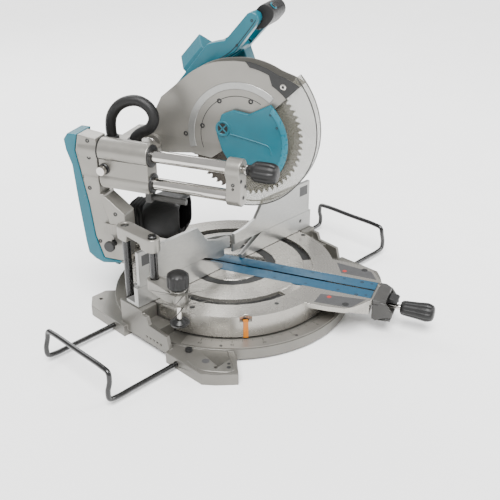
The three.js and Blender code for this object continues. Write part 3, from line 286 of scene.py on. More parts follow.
def from_lists(name, verts, faces, m=TURN):
    """A mesh from points in millimetres, placed by m, with its normals outward."""
    mesh = bpy.data.meshes.new(name)
    mesh.from_pydata([m @ Vector(v) for v in verts], [], faces)
    mesh.validate()
    bm = bmesh.new()
    bm.from_mesh(mesh)
    bmesh.ops.recalc_face_normals(bm, faces=bm.faces)
    bm.to_mesh(mesh)
    bm.free()
    return mesh


def on_plane(plane, a, b, c):
    """The point (a, b) of an outline drawn on a plane, at c along the plane's normal."""
    return {"top": (a, b, c), "side": (c, a, b), "front": (a, c, b)}[plane]


def prism(name, plane, outline, low, high, m=TURN, width=0):
    """An outline extruded from low to high, with its edges rounded by width."""
    k = len(outline)
    verts = [on_plane(plane, a, b, c) for c in (low, high) for a, b in outline]
    faces = [list(range(k)), list(range(k, 2 * k))]
    faces += [[i, (i + 1) % k, (i + 1) % k + k, i + k] for i in range(k)]
    mesh = from_lists(name, verts, faces, m)
    return softened(mesh, width) if width else mesh


def band(name, plane, inner, outer, low, high, width=0):
    """A strip between two open outlines of the same length, extruded from low to high."""
    return prism(name, plane, list(inner) + list(reversed(outer)), low, high, width=width)


def frame_of(direction):
    """A unit direction and two unit vectors across it."""
    d = Vector(direction).normalized()
    side = d.orthogonal().normalized()
    return d, side, d.cross(side)


def lathe(name, profile, origin, direction, m=TURN, steps=48, shape=None):
    """A turned shape from (radius, height) points. shape(angle, height) scales the radius, for flutes."""
    d, s, t = frame_of(direction)
    o = Vector(origin)
    verts, faces = [], []
    for r, h in profile:
        for i in range(steps):
            a = 2 * math.pi * i / steps
            k = r * (shape(a, h) if shape else 1)
            verts.append(o + d * h + (s * math.cos(a) + t * math.sin(a)) * k)
    for j in range(len(profile) - 1):
        for i in range(steps):
            p, q = j * steps + i, j * steps + (i + 1) % steps
            faces.append([p, q, q + steps, p + steps])
    faces.append(list(range(steps)))
    faces.append(list(range((len(profile) - 1) * steps, len(profile) * steps)))
    return from_lists(name, verts, faces, m)


def arc(r, start, end, steps):
    """Points round the mitre axis."""
    angles = [math.radians(start + (end - start) * i / steps) for i in range(steps + 1)]
    return [(r * math.cos(a), r * math.sin(a)) for a in angles]


def blade_arc(r, start, end, steps):
    """Points round the blade axis: 0 is forward, 90 is up. r may depend on the angle."""
    radius = r if callable(r) else (lambda deg: r)
    out = []
    for i in range(steps + 1):
        deg = start + (end - start) * i / steps
        a = math.radians(deg)
        out.append((AXIS[0] - radius(deg) * math.cos(a), AXIS[1] + radius(deg) * math.sin(a)))
    return out


def smooth_route(points, per):
    """A centripetal Catmull-Rom curve through the points."""
    p = [Vector(q) for q in points]
    p = [p[0] * 2 - p[1]] + p + [p[-1] * 2 - p[-2]]
    out = []
    for i in range(1, len(p) - 2):
        a, b, c, d = p[i - 1:i + 3]
        t0, t1 = 0, (b - a).length ** 0.5
        t2 = t1 + (c - b).length ** 0.5
        t3 = t2 + (d - c).length ** 0.5
        for j in range(per):
            t = t1 + (t2 - t1) * j / per
            a1 = a * ((t1 - t) / (t1 - t0)) + b * ((t - t0) / (t1 - t0))
            a2 = b * ((t2 - t) / (t2 - t1)) + c * ((t - t1) / (t2 - t1))
            a3 = c * ((t3 - t) / (t3 - t2)) + d * ((t - t2) / (t3 - t2))
            b1 = a1 * ((t2 - t) / (t2 - t0)) + a2 * ((t - t0) / (t2 - t0))
            b2 = a2 * ((t3 - t) / (t3 - t1)) + a3 * ((t - t1) / (t3 - t1))
            out.append(b1 * ((t2 - t) / (t2 - t1)) + b2 * ((t - t1) / (t2 - t1)))
    return out + [p[-2]]


def tube(name, points, radius, m=TURN, sides=24):
    """A round tube along points, with a radius that may depend on the distance along it."""
    pts = [Vector(p) for p in points]
    r_at = radius if callable(radius) else (lambda s: radius)
    d0 = (pts[1] - pts[0]).normalized()
    _, side, _ = frame_of(d0)
    verts, faces, run = [], [], 0
    for i, p in enumerate(pts):
        d = (pts[min(i + 1, len(pts) - 1)] - pts[max(i - 1, 0)]).normalized()
        side = (side - d * side.dot(d)).normalized()
        other = d.cross(side)
        if i:
            run += (p - pts[i - 1]).length
        for k in range(sides):
            a = 2 * math.pi * k / sides
            verts.append(p + (side * math.cos(a) + other * math.sin(a)) * r_at(run))
    for i in range(len(pts) - 1):
        for k in range(sides):
            q, w = i * sides + k, i * sides + (k + 1) % sides
            faces.append([q, w, w + sides, q + sides])
    faces += [list(range(sides)), list(range((len(pts) - 1) * sides, len(pts) * sides))]
    return from_lists(name, verts, faces, m)


def merged(name, meshes):
    """One mesh that holds several separate ones."""
    bm = bmesh.new()
    for x in meshes:
        bm.from_mesh(x)
    mesh = bpy.data.meshes.new(name)
    bm.to_mesh(mesh)
    bm.free()
    return mesh


def screw(name, at, direction, r, body, mat="black_plastic", m=TURN, proud=1.6):
    """A round screw head with a socket, sitting on a surface."""
    inner = r * 0.5
    profile = [(r, -0.5), (r, proud * 0.6), (r * 0.86, proud), (inner, proud), (inner * 0.92, -0.2)]
    made(name, lathe(name, profile, at, direction, m, 24), body, mat)


# ---- Dust hose ----
HOSE_X, HOSE_R = -104, 13.5
RIB_DEPTH, RIB_PITCH = 0.45, 3.4
HOSE_STEP = 0.7             # between rings of the tube, fine enough for the ribs
HOSE_YZ = [(274, 430.3), (274, 448), (276, 472), (271, 502), (250, 530), (222, 545), (192, 548), (166, 535),
           (155, 511), (166, 486), (192, 470), (208, 456), (212, 444), (212, 430.3)]
CUFF_Z = 442.4
CUFF = [(13.6, 0), (17.4, 0), (17.8, 1.5), (17.6, 8), (16.4, 10.5), (14.2, 11.5), (13.6, 11.4)]


def rib(s):
    return HOSE_R - RIB_DEPTH * (0.5 + 0.5 * math.cos(2 * math.pi * s / RIB_PITCH)) ** 2


def divided(points, step):
    out = []
    for a, b in zip(points, points[1:]):
        k = max(1, round((b - a).length / step))
        out += [a.lerp(b, i / k) for i in range(k)]
    return out + [points[-1]]


route = smooth_route([(HOSE_X, y, z) for y, z in HOSE_YZ], 16)
hose = made("dust_hose_rubber", tube("dust_hose_rubber", divided(route, HOSE_STEP), rib, sides=32), "slide",
            "black_rubber", ["dust_hose"], 60)
for i, (y, _) in enumerate((HOSE_YZ[0], HOSE_YZ[-1])):
    cuff = lathe(f"hose_cuff_{i}", CUFF, (HOSE_X, y, CUFF_Z), (0, 0, 1), steps=40)
    made(f"hose_cuff_{i}", cuff, "slide", "black_rubber")

# ---- CAD nodes carried over with rounded corners: corner width and material ----
REFINED = {
    "base_casting": (1.6, "base_alloy"), "mitre_scale": (0.3, "scale_plate"),
    "pivot_bolt": (0.8, "bright_steel"), "lower_fence": (0.8, "milled_alloy"),
    "upper_fence_left": (0.8, "milled_alloy"), "upper_fence_right": (0.8, "milled_alloy"),
    "fence_clamp_left": (1.2, "black_plastic"), "fence_clamp_right": (1.2, "black_plastic"),
    "holder_screw_left": (0.8, "black_plastic"), "holder_screw_right": (0.8, "black_plastic"),
    "vise_top_arm": (3, "cast_alloy"), "vise_lower_arm": (3, "cast_alloy"),
    "vise_screw": (0.4, "bright_steel"), "vise_pad": (0.8, "black_plastic"),
    "turntable_casting": (1.0, "machined_alloy"), "kerf_board_left": (0.4, "kerf_board_plastic"),
    "kerf_board_right": (0.4, "kerf_board_plastic"), "mitre_pointer": (0.3, "orange_plastic"),
    "arm_nose": (2.0, "dark_grey_plastic"), "detent_lever": (1.5, "black_plastic"),
    "bevel_arm": (2.4, "cast_alloy"), "bevel_pivot": (1.0, "bright_steel"),
    "arm_rear_cover": (2.4, "teal_plastic"), "rail_bracket": (3, "cast_alloy"),
    "bevel_scale": (0.3, "scale_plate"), "bevel_release_knob": (1.4, "black_plastic"),
    "carriage": (2.2, "cast_alloy"), "carriage_lock_screw": (0.8, "bright_steel"),
    "head_hinge_pin": (0.8, "bright_steel"), "slide_stop_pin": (1.4, "dark_grey_plastic"),
    "blade_case": (1.0, "cast_alloy"), "case_insert": (0.7, "black_plastic"),
    "arbor": (0.5, "bright_steel"), "drive_gear": (0.2, "bright_steel"),
    "gear_housing": (2.4, "cast_alloy"), "motor_housing": (1.6, "teal_plastic"),
    "motor_stator": (0.6, "dark_grey_plastic"), "motor_rotor": (0.2, "bright_steel"),
    "handle_spine": (3.6, "teal_plastic"), "battery_bay": (2.0, "teal_plastic"),
    "hand_grip": (2.0, "black_rubber"), "trigger_switch": (1.6, "black_plastic"),
    "lock_off_button": (2.2, "black_plastic"), "centre_cover": (2.6, "teal_plastic"),
    "lower_guard": (0, "guard_plastic"),
}
for node, (width, mat) in REFINED.items():
    refine(node, width, mat, 3 if width >= 2 else 2)

# ---- Rods and rails ----
ROD_CHAMFER = 1.2
RAIL_R, RAIL_FRONT, RAIL_LENGTH = 15, -88, 416
VISE_X, VISE_SCREW_Y, VISE_ROD_R = -297, -126, 10


def rod(name, node, r, origin, direction, length, body, mat, m=TURN):
    """A round bar with chamfered ends, from origin along direction."""
    profile = [(r - ROD_CHAMFER, 0), (r, ROD_CHAMFER), (r, length - ROD_CHAMFER), (r - ROD_CHAMFER, length)]
    made(name, lathe(name, profile, origin, direction, m, 64), body, mat, [node] if node else ())


for name, z in (("rail_upper", RAILS[1]), ("rail_lower", RAILS[2])):
    rod(f"{name}_tube", name, RAIL_R, (RAILS[0], RAIL_FRONT, z), (0, 1, 0), RAIL_LENGTH, "bevel",
        "bright_steel")
rod("vise_post_rod", "vise_post", VISE_ROD_R, (VISE_X, 58, 46), (0, 0, 1), 244, "vise", "black_rod",
    PLAIN)
rod("vise_second_rod", "vise_rod", VISE_ROD_R, (VISE_X, -42, 160), (0, 0, 1), 140, "vise", "black_rod",
    PLAIN)

# ---- Wire work holders ----
WIRE_R, WIRE_Z = 6, 16
WIRE_REAR, WIRE_FRONT = 88, -150


def holder(side, reach, name, node, body):
    """One wire: out of the base low down, up at its end, across, and back into the base."""
    start, top = reach - 325, TOP - 6
    leg = [(start, 0, WIRE_Z), (reach - 130, 0, WIRE_Z), (reach - 60, 0, WIRE_Z), (reach - 26, 0, WIRE_Z),
           (reach - 5, 0, WIRE_Z + 5), (reach - 2, 0, 42), (reach - 8, 0, top - 26), (reach - 10, 5, top - 4),
           (reach - 10, 26, top)]
    points = [(x, WIRE_REAR - inward, z) for x, inward, z in leg]
    points.append((reach - 10, (WIRE_REAR + WIRE_FRONT) / 2, top))
    points += [(x, WIRE_FRONT + inward, z) for x, inward, z in reversed(leg)]
    line = smooth_route([(side * x, y, z) for x, y, z in points], 10)
    made(name, tube(name, line, WIRE_R, PLAIN), body, "black_rod", [node], 60)


holder(-1, 530, "holder_wire_left", "work_holder_left", "holder_left")
holder(1, 478, "holder_wire_right", "work_holder_right", "holder_right")

# ---- Fluted grips and the vise knob: (radius, height) profiles ----
BEVEL_GRIP = [(1, 76), (8, 76), (15, 74.4), (20, 71), (22.6, 66), (24.6, 58), (24.9, 48), (24.8, 34),
              (24, 24), (21, 18.5), (13.4, 9.5), (12.4, 5), (12, 0), (1, 0)]
BEVEL_COLLAR = [(12.6, -0.2), (13.6, 0.6), (13.6, 2.6), (12.6, 3.4)]
BEVEL_GRIP_AT = (RAILS[0], -110, RAILS[1])
MITRE_GRIP = [(1, 84), (9.5, 84), (15, 82.8), (19.6, 79.6), (22.4, 73), (23.8, 65), (23, 55), (21.4, 42),
              (20.2, 26), (19, 10), (17.6, 4), (14, 0.4), (1, 0)]
VISE_KNOB = [(1, 40), (12, 39.4), (17.5, 37), (22, 34), (25.2, 31), (25.9, 26), (25.9, 6), (25, 2), (22, 0),
             (7, 0)]


def lobes(count, depth, low, high):
    """Rounded flutes that fade out towards the ends."""
    def shape(a, h):
        fade = max(0, min(1, (h - low) / 8, (high - h) / 8))
        return 1 - depth * fade * (0.5 - 0.5 * math.cos(a * count)) ** 3
    return shape


def dense(profile, pitch=2.5):
    """The profile with points added along it, for the flutes to bend."""
    out = []
    for (r0, h0), (r1, h1) in zip(profile, profile[1:]):
        k = max(1, round(math.hypot(r1 - r0, h1 - h0) / pitch))
        out += [(r0 + (r1 - r0) * i / k, h0 + (h1 - h0) * i / k) for i in range(k)]
    return out + [profile[-1]]


def fluted(name, profile, at, direction, flutes, body, node, m=TURN):
    mesh = lathe(name, dense(profile), at, direction, m, 96, lobes(*flutes))
    made(name, mesh, body, "black_rubber", [node], 50)


fluted("bevel_grip_body", BEVEL_GRIP, BEVEL_GRIP_AT, (0, -1, 0), (8, 0.10, 20, 74), "bevel_handle",
       "bevel_lock_grip")
rod("bevel_grip_shaft", None, 8, (RAILS[0], -112, RAILS[1]), (0, 1, 0), 18, "bevel_handle", "bright_steel")
made("bevel_grip_collar", lathe("bevel_grip_collar", BEVEL_COLLAR, BEVEL_GRIP_AT, (0, -1, 0)), "bevel_handle",
     "bright_steel")
fluted("mitre_grip_body", MITRE_GRIP, (0, -456, 62), (0, -1, 0), (8, 0.09, 6, 80), "mitre_handle",
       "mitre_grip")
rod("mitre_grip_shaft", None, 7, (0, -457, 62), (0, 1, 0), 71, "mitre_handle", "bright_steel")
fluted("vise_knob_body", VISE_KNOB, (VISE_X, VISE_SCREW_Y, 198), (0, 0, 1), (10, 0.11, 0, 36),
       "vise_turner", "vise_knob", PLAIN)

# ---- Return spring, wound on the hinge pin ----
COIL_R, COIL_WIRE_R, COIL_LEFT, COIL_LENGTH = 17.5, 2.1, -59, 20
COIL_TURNS, COIL_STEPS = 4, 24
coil = []
for i in range(COIL_TURNS * COIL_STEPS + 1):
    a = 2 * math.pi * i / COIL_STEPS
    coil.append((COIL_LEFT + COIL_LENGTH * i / (COIL_TURNS * COIL_STEPS), HINGE[0] + COIL_R * math.cos(a),
                 HINGE[1] + COIL_R * math.sin(a)))
made("return_spring_coil", tube("return_spring_coil", coil, COIL_WIRE_R, sides=12), "slide", "bright_steel",
     ["return_spring"], 60)

# ---- Dust chute: a moulded rubber mouth on a ribbed neck ----
# Sections across y: (y, half width, lowest and highest point above the table).
CHUTE_INSIDE = [(212, 33, 58, 158), (176, 35, 56, 163), (150, 35.5, 60, 163), (138, 35.8, 80, 162),
                (134.2, 36, 88, 161)]
CHUTE_OUTSIDE = [(134.2, 39.8, 84, 164), (136, 40, 78, 167), (150, 40, 54, 168), (176, 40, 50, 169.5),
                 (206, 39.5, 50, 169.5), (226, 37, 54, 160), (240, 35, 58, 148)]
NECK_RIB = [(0, 34, 60, 142), (2, 32, 64, 136), (6, 32, 64, 136), (8, 34, 61, 141)]
NECK_FROM, NECK_TO, NECK_PITCH = 244, 288, 11
CHUTE_SIDES = 40
CHUTE_SQUARENESS = 0.42     # power of a superellipse: 1 is an ellipse, 0 a rectangle
CHUTE_SLOT = ((-6, 6), (125, 178), (TOP + 20, TOP + 94))    # x, y, z of the blade's way through the lip


def squared(v):
    return math.copysign(abs(v) ** CHUTE_SQUARENESS, v)


def chute():
    sections = CHUTE_INSIDE + CHUTE_OUTSIDE
    for start in range(NECK_FROM, NECK_TO, NECK_PITCH):
        sections += [(start + y, half, low, high) for y, half, low, high in NECK_RIB]
    verts, faces = [], []
    for y, half, low, high in sections:
        middle, reach = TOP + (low + high) / 2, (high - low) / 2
        for k in range(CHUTE_SIDES):
            a = 2 * math.pi * (k + 0.5) / CHUTE_SIDES
            verts.append((half * squared(math.cos(a)), y, middle + reach * squared(math.sin(a))))
    for j in range(len(sections) - 1):
        for k in range(CHUTE_SIDES):
            q, w = j * CHUTE_SIDES + k, j * CHUTE_SIDES + (k + 1) % CHUTE_SIDES
            faces.append([q, w, w + CHUTE_SIDES, q + CHUTE_SIDES])
    last = (len(sections) - 1) * CHUTE_SIDES
    faces += [list(range(CHUTE_SIDES)), list(range(last, last + CHUTE_SIDES))]
    return slotted(from_lists("dust_chute_rubber", verts, faces), *CHUTE_SLOT)


def slotted(mesh, xs, ys, zs):
    """The mesh with a box cut out of it."""
    box = from_lists("slot", [(x, y, z) for x in xs for y in ys for z in zs],
                     [[0, 1, 3, 2], [4, 6, 7, 5], [0, 4, 5, 1], [2, 3, 7, 6], [0, 2, 6, 4], [1, 5, 7, 3]])
    work, cutter = (bpy.data.objects.new(n, m) for n, m in (("work", mesh), ("cutter", box)))
    for obj in (work, cutter):
        bpy.context.scene.collection.objects.link(obj)
    cut = work.modifiers.new("cut", "BOOLEAN")
    cut.operation, cut.solver, cut.object = "DIFFERENCE", "EXACT", cutter
    bpy.context.view_layer.update()
    result = bake(work)
    bpy.data.objects.remove(work)
    bpy.data.objects.remove(cutter)
    return result


made("dust_chute_rubber", chute(), "bevel", "black_rubber", ["dust_chute"], 60)

# ---- Saw blade ----
TEETH, BLADE_R, BLADE_HALF, TIP_HALF = 60, 152.5, 1.1, 1.35
TOOTH = [(0.0, BLADE_R), (0.06, 152.2), (0.34, 149.6), (0.46, 147.2), (0.56, 143.6), (0.72, 142.2),
         (0.88, 143.8), (0.985, 148.5)]    # (share of the pitch, radius)
BLADE_RINGS = [13, 26, 27, 62, 98, 128, 138]
TIP = [(152.45, 0.0), (152.1, 0.012), (144.5, 0.010), (144.5, -0.002)]    # (radius, radians past the tooth)


def on_blade(r, a):
    """The point (y, z) at a radius and an angle from forward."""
    return AXIS[0] - r * math.cos(a), AXIS[1] + r * math.sin(a)


def saw_blade():
    verts, faces = [], []
    cols, rows = TEETH * len(TOOTH), len(BLADE_RINGS) + 1
    for side in (-1, 1):
        for j in range(rows):
            for i in range(cols):
                share, tip = TOOTH[i % len(TOOTH)]
                a = 2 * math.pi * (i // len(TOOTH) + share) / TEETH
                r = BLADE_RINGS[j] if j < len(BLADE_RINGS) else tip
                verts.append((side * BLADE_HALF, *on_blade(r, a)))
    for s in (0, 1):
        for j in range(rows - 1):
            for i in range(cols):
                p, q = (s * rows + j) * cols + i, (s * rows + j) * cols + (i + 1) % cols
                faces.append([p, q, q + cols, p + cols])
    for j in (0, rows - 1):
        for i in range(cols):
            p, q = j * cols + i, j * cols + (i + 1) % cols
            faces.append([p, q, q + rows * cols, p + rows * cols])
    return from_lists("saw_blade_disc", verts, faces)


made("saw_blade_disc", saw_blade(), "blade", "blade_steel", ["saw_blade"], 30)
tips = []
for i in range(TEETH):
    a = 2 * math.pi * i / TEETH
    tips.append(prism("tip", "side", [on_blade(r, a + past) for r, past in TIP], -TIP_HALF, TIP_HALF))
made("saw_blade_tips", merged("saw_blade_tips", tips), "blade", "carbide")

# ---- Lower guard's lips ----
GUARD_HALF, LIP_ARC = 15.0, (-100.5, 49.5, 60)


def guard_rim(deg):
    return 178 + 36 * max(0, (deg + 40) / 92) ** 1.25


def lip_edge(inset):
    return blade_arc(lambda deg: guard_rim(deg) - inset, *LIP_ARC)


for i, (inward, x) in enumerate(((0.3, -GUARD_HALF), (0.6, GUARD_HALF))):
    lip = band("guard_lip", "side", lip_edge(3.2), lip_edge(0.1), x - inward, x + 0.9 - inward)
    made(f"guard_lip_{i}", lip, "guard", "dark_grey_plastic")

# ---- Blade case: a raised arc band, a seam and screws on its left wall ----
CASE_X = -22
CASE_BAND, CASE_SEAM = (52, 196, 40), (60, 200, 40)
CASE_SCREWS = ((-61, 552), (66, 478), (112, 452), (20, 545))
arc_band = band("case_arc_band", "side", blade_arc(122, *CASE_BAND), blade_arc(139, *CASE_BAND), CASE_X - 1.8,
                CASE_X + 0.3, width=1.2)
made("case_arc_band", arc_band, "head", "milled_alloy")
disc_seam = band("case_disc_seam", "side", blade_arc(104, *CASE_SEAM), blade_arc(105.6, *CASE_SEAM),
                 CASE_X - 0.25, CASE_X + 0.3)
made("case_disc_seam", disc_seam, "head", "ink")
for i, (y, z) in enumerate(CASE_SCREWS):
    screw(f"case_screw_{i}", (CASE_X, y, z), (-1, 0, 0), 6.2, "head")
screw("case_stop_screw", (CASE_X - 2.5, -142, 596), (-1, 0, 0), 7.5, "head", "bright_steel")

# ---- Centre cover: a lighter rim, a ridge, a vent with a dark disc of painted shade inside, and screws ----
COVER_X = -36
VENT, VENT_R = (6, 482), 13.4
VENT_RING = [(13, 0.3), (13, -0.6), (15.6, -2.6), (18.4, -2.6), (19.4, 0.3)]
VENT_SHADE_DISC = [(13.4, 0), (13.2, 0.8), (1, 0.8)]
SPOKE_HALF = 1.6
COVER_RIDGE = [(-14, 470), (-40, 466), (-96, 456), (-112, 451), (-118, 442), (-120, 432)]
rim_band = band("cover_rim_band", "side", blade_arc(112, 44, -42, 24), blade_arc(127, 46, -44, 24),
                COVER_X - 2.2, COVER_X + 0.4, width=1.4)
made("cover_rim_band", rim_band, "guard", "teal_light")
ridge = smooth_route([(COVER_X - 0.2, y, z) for y, z in COVER_RIDGE], 8)
made("cover_ridge", tube("cover_ridge", ridge, 2.0, sides=12), "guard", "teal_plastic")
vent_ring = lathe("cover_vent_ring", VENT_RING, (COVER_X, *VENT), (1, 0, 0))
made("cover_vent_ring", vent_ring, "guard", "teal_plastic")
# A dark disc inside the vent ring: painted shade for the vent's opening.
vent_shade_disc = lathe("cover_vent_floor", VENT_SHADE_DISC, (COVER_X - 0.6, *VENT), (1, 0, 0))
made("cover_vent_floor", vent_shade_disc, "guard", "ink")
for i in range(2):
    a = math.radians(45 + 90 * i)
    ca, sa = math.cos(a), math.sin(a)
    spoke = [(VENT[0] + VENT_R * ca * u - SPOKE_HALF * sa * v,
              VENT[1] + VENT_R * sa * u + SPOKE_HALF * ca * v) for u, v in ((-1, -1), (1, -1), (1, 1), (-1, 1))]
    made(f"cover_vent_spoke_{i}", prism("spoke", "side", spoke, COVER_X - 2.4, COVER_X - 0.4, width=0.5),
         "guard", "teal_plastic")
for i, (y, z) in enumerate(((-116, 530), (-132, 500))):
    screw(f"cover_screw_{i}", (COVER_X, y, z), (-1, 0, 0), 3, "guard", "ink", proud=0.8)

# ---- Turntable: dark floors of painted shade in its grooves, screws, arm plates and holes painted as dark discs ----
SLOT_R, SLOT_FLOOR = (188.9, 212.3), TOP - 8.9
RING_R, RING_FLOOR = (90, 115.2), TOP - 1.95
PLATE_LEFT = ((-109, -262), (-66, -266), (-52, -378), (-104, -352))
PLATE_RIGHT = ((106, -258), (90, -356), (54, -378), (56, -284))
MARK = [(4.2, 0.2), (5.6, 0.2), (5.6, 0.5), (4.2, 0.5)]
UP = (0, 0, 1)


# Painted shade: a dark band laid on the floor of a groove in the turntable.
def groove_floor(name, radii, start, end, z):
    inner, outer = (arc(r, start, end, 48) for r in radii)
    made(name, band(name, "top", inner, outer, z, z + 0.6), "turntable", "ink")


def spot(name, r, height, at, body="turntable", mat="ink", m=TURN, steps=32):
    """A thin dark disc that stands for a hole, with the hole's shade painted in, or for a plug."""
    profile = [(0.5, 0), (r, 0), (r, height), (0.5, height)]
    made(name, lathe("hole", profile, at, UP, m, steps), body, mat)


groove_floor("table_slot_left", SLOT_R, -118.5, -299.5, SLOT_FLOOR)
groove_floor("table_slot_right", SLOT_R, -61.5, 59.5, SLOT_FLOOR)
groove_floor("table_ring_inner", RING_R, 131, 409, RING_FLOOR)
for i, y in enumerate((-372, -300, -215, -130, 20)):
    for side, letter in ((-1, "l"), (1, "r")):
        screw(f"kerf_screw_{i}_{letter}", (side * 30, y, TOP - 0.4), UP, 3.4, "turntable", "ink", proud=0.3)
for side, name, plate, mark in ((-1, "left", PLATE_LEFT, (-73, -290)),
                                (1, "right", PLATE_RIGHT, (68, -290))):
    made(f"arm_plate_{name}", prism("plate", "top", plate, TOP - 0.1, TOP + 0.35, width=0.15), "turntable",
         "label_grey")
    made(f"arm_mark_{name}", lathe("mark", MARK, (*mark, TOP), UP, steps=32), "turntable", "red_paint")
    spot(f"arm_hole_{name}", 8.4, 0.45, (side * 92, -337, TOP))
for i, (x, y) in enumerate(((-241, 5), (230, -122), (-150, -180))):
    spot(f"table_hole_{i}", 7.5 - i, 0.3, (x, y, TOP))
for i, (x, y) in enumerate(((-37, -349), (29, -347))):
    screw(f"board_end_screw_{i}", (x, y, TOP - 0.3), UP, 4.6, "turntable", "ink", proud=0.4)

# ---- Base: side slits painted as dark shade, feet, scale screws ----
BASE_HALF, FOOT_TOP, SCALE_TOP = 316, 30, 37
SLIT_PITCH, SLIT_WIDTH, SLIT_Z, SLIT_REACH = 13, 6, (17, 32), 3
FOOT_RIDGE = ((322, -176), (324, -218), (308, -248), (276, -278), (240, -232), (214, -184))
# Flat discs of painted shade for the holes in each foot: grey for the largest, near-black for the rest.
FOOT_HOLES = ((292, -206, 9, "label_grey"), (262, -252, 4, "ink"), (272, -262, 5, "ink"))
# Each slit is a dark box across the wall: painted shade for the opening of a vent.
slits = []
for side in (-1, 1):
    for i in range(10):
        y = -84 + i * SLIT_PITCH + (10 if i > 4 else 0)
        outline = [(y, SLIT_Z[0]), (y + SLIT_WIDTH, SLIT_Z[0]), (y + SLIT_WIDTH, SLIT_Z[1]), (y, SLIT_Z[1])]
        wall = side * BASE_HALF
        slits.append(prism("slit", "side", outline, wall - SLIT_REACH, wall + SLIT_REACH, PLAIN))
made("base_side_slits", merged("base_side_slits", slits), "base", "ink")
for side, name in ((-1, "left"), (1, "right")):
    ridge = smooth_route([(side * x, y, FOOT_TOP) for x, y in FOOT_RIDGE], 6)
    made(f"foot_ridge_{name}", tube("ridge", ridge, 2.2, PLAIN, 10), "base", "base_alloy")
    for i, (x, y, r, mat) in enumerate(FOOT_HOLES):
        spot(f"foot_hole_{name}_{i}", r, 0.3, (side * x, y, FOOT_TOP), "base", mat, PLAIN, 28)
    for i, deg in enumerate((14, 50)):
        a = math.radians(-90 + side * deg)
        screw(f"scale_screw_{name}_{i}", (302 * math.cos(a), 302 * math.sin(a), SCALE_TOP), UP, 3.6, "base",
              "ink", PLAIN, proud=1.0)
PAD_DISC = [(8, 0.2), (16.5, 0.2), (16.5, 0.9), (10, 2.4), (8, 2.4)]
pad_disc = lathe("disc", PAD_DISC, (VISE_X, VISE_SCREW_Y, 103.8), UP, PLAIN)
made("vise_pad_disc", pad_disc, "vise_foot", "bright_steel")

# ---- Degree scale: a tick for each degree and plain numbers ----
SCALE_DEG, TICK_R, NUMBER_R, NUMBER_SIZE = 60, 276.5, 0.3005, 0.010
ticks = []
for deg in range(-SCALE_DEG, SCALE_DEG + 1):
    a = math.radians(-90 + deg)
    long = 13 if deg % 15 == 0 else 9 if deg % 5 == 0 else 5.5
    half = 0.45 if deg % 5 else 0.7
    c, s = math.cos(a), math.sin(a)
    corners = ((TICK_R, -half), (TICK_R + long, -half), (TICK_R + long, half), (TICK_R, half))
    quad = [(c * r - s * w, s * r + c * w) for r, w in corners]
    ticks.append(prism("tick", "top", quad, SCALE_TOP - 0.1, SCALE_TOP + 0.12, PLAIN))
made("mitre_scale_ticks", merged("mitre_scale_ticks", ticks), "base", "ink")
for deg in range(-SCALE_DEG, SCALE_DEG + 1, 15):
    text = bpy.data.curves.new(f"dial_{deg}", "FONT")
    text.body, text.size, text.extrude, text.align_x = str(abs(deg)), NUMBER_SIZE, 0.00008, "CENTER"
    obj = bpy.data.objects.new(f"dial_number_{deg + SCALE_DEG}", text)
    bpy.context.scene.collection.objects.link(obj)
    a = math.radians(-90 + deg)
    place = Matrix.Translation((NUMBER_R * math.cos(a), NUMBER_R * math.sin(a), 0.03708))
    obj.matrix_world = place @ Matrix.Rotation(a + math.pi / 2, 4, "Z")
    text.materials.append(MAT["ink"])
    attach(obj, "base")

# ---- Fences: a blank grey plate on each ----
FENCE_PLATE = ((268, 204), (300, 204), (300, 232), (268, 232))
for side, name in ((-1, "left"), (1, "right")):
    plate = prism("plate", "front", [(side * x, z) for x, z in FENCE_PLATE], -0.35, 0.2, PLAIN)
    made(f"fence_plate_{name}", plate, f"fence_{name}", "label_grey")

# ---- Arm, rail bracket and carriage: screws, seals and rings ----
ARM_X, BRACKET_REAR, BRACKET_FRONT, CARRIAGE_FRONT = -197, -66, -102, 130
BRACKET_RING = [(15.4, 0), (18.6, 0), (19, 0.4), (18.4, 1.1), (15.5, 1.2)]
for i, (y, h) in enumerate(((286, 330), (292, 250), (276, 108), (226, 190), (286, 372))):
    screw(f"arm_screw_{i}", (ARM_X, y, TOP + h), (-1, 0, 0), 5.2, "bevel")
for i, (z, r) in enumerate(((RAILS[1], 30), (RAILS[2], 27))):
    seal = [(16, 0), (r - 3.5, 0), (r - 2.6, -1), (r - 3, -3.4), (19, -4.4), (15.6, -4)]
    seal_mesh = lathe(f"carriage_seal_{i}", seal, (RAILS[0], CARRIAGE_FRONT, z), (0, 1, 0))
    made(f"carriage_seal_{i}", seal_mesh, "slide", "black_rubber")
    ring_mesh = lathe(f"bracket_ring_{i}", BRACKET_RING, (RAILS[0], BRACKET_REAR, z), (0, 1, 0))
    made(f"bracket_ring_{i}", ring_mesh, "bevel", "dark_grey_plastic")
for i, (x, z) in enumerate(((RAILS[0] - 14, 418), (RAILS[0] + 12, 396), (RAILS[0], 373))):
    screw(f"bracket_screw_{i}", (x, BRACKET_FRONT, z), (0, -1, 0), 4.6, "bevel")
screw("bracket_side_screw_0", (RAILS[0] - 19, -84, 408), (-1, 0, 0), 4.4, "bevel")
screw("bracket_side_screw_1", (RAILS[0] - 19, -84, 398), (-1, 0, 0), 3.0, "bevel", "ink")

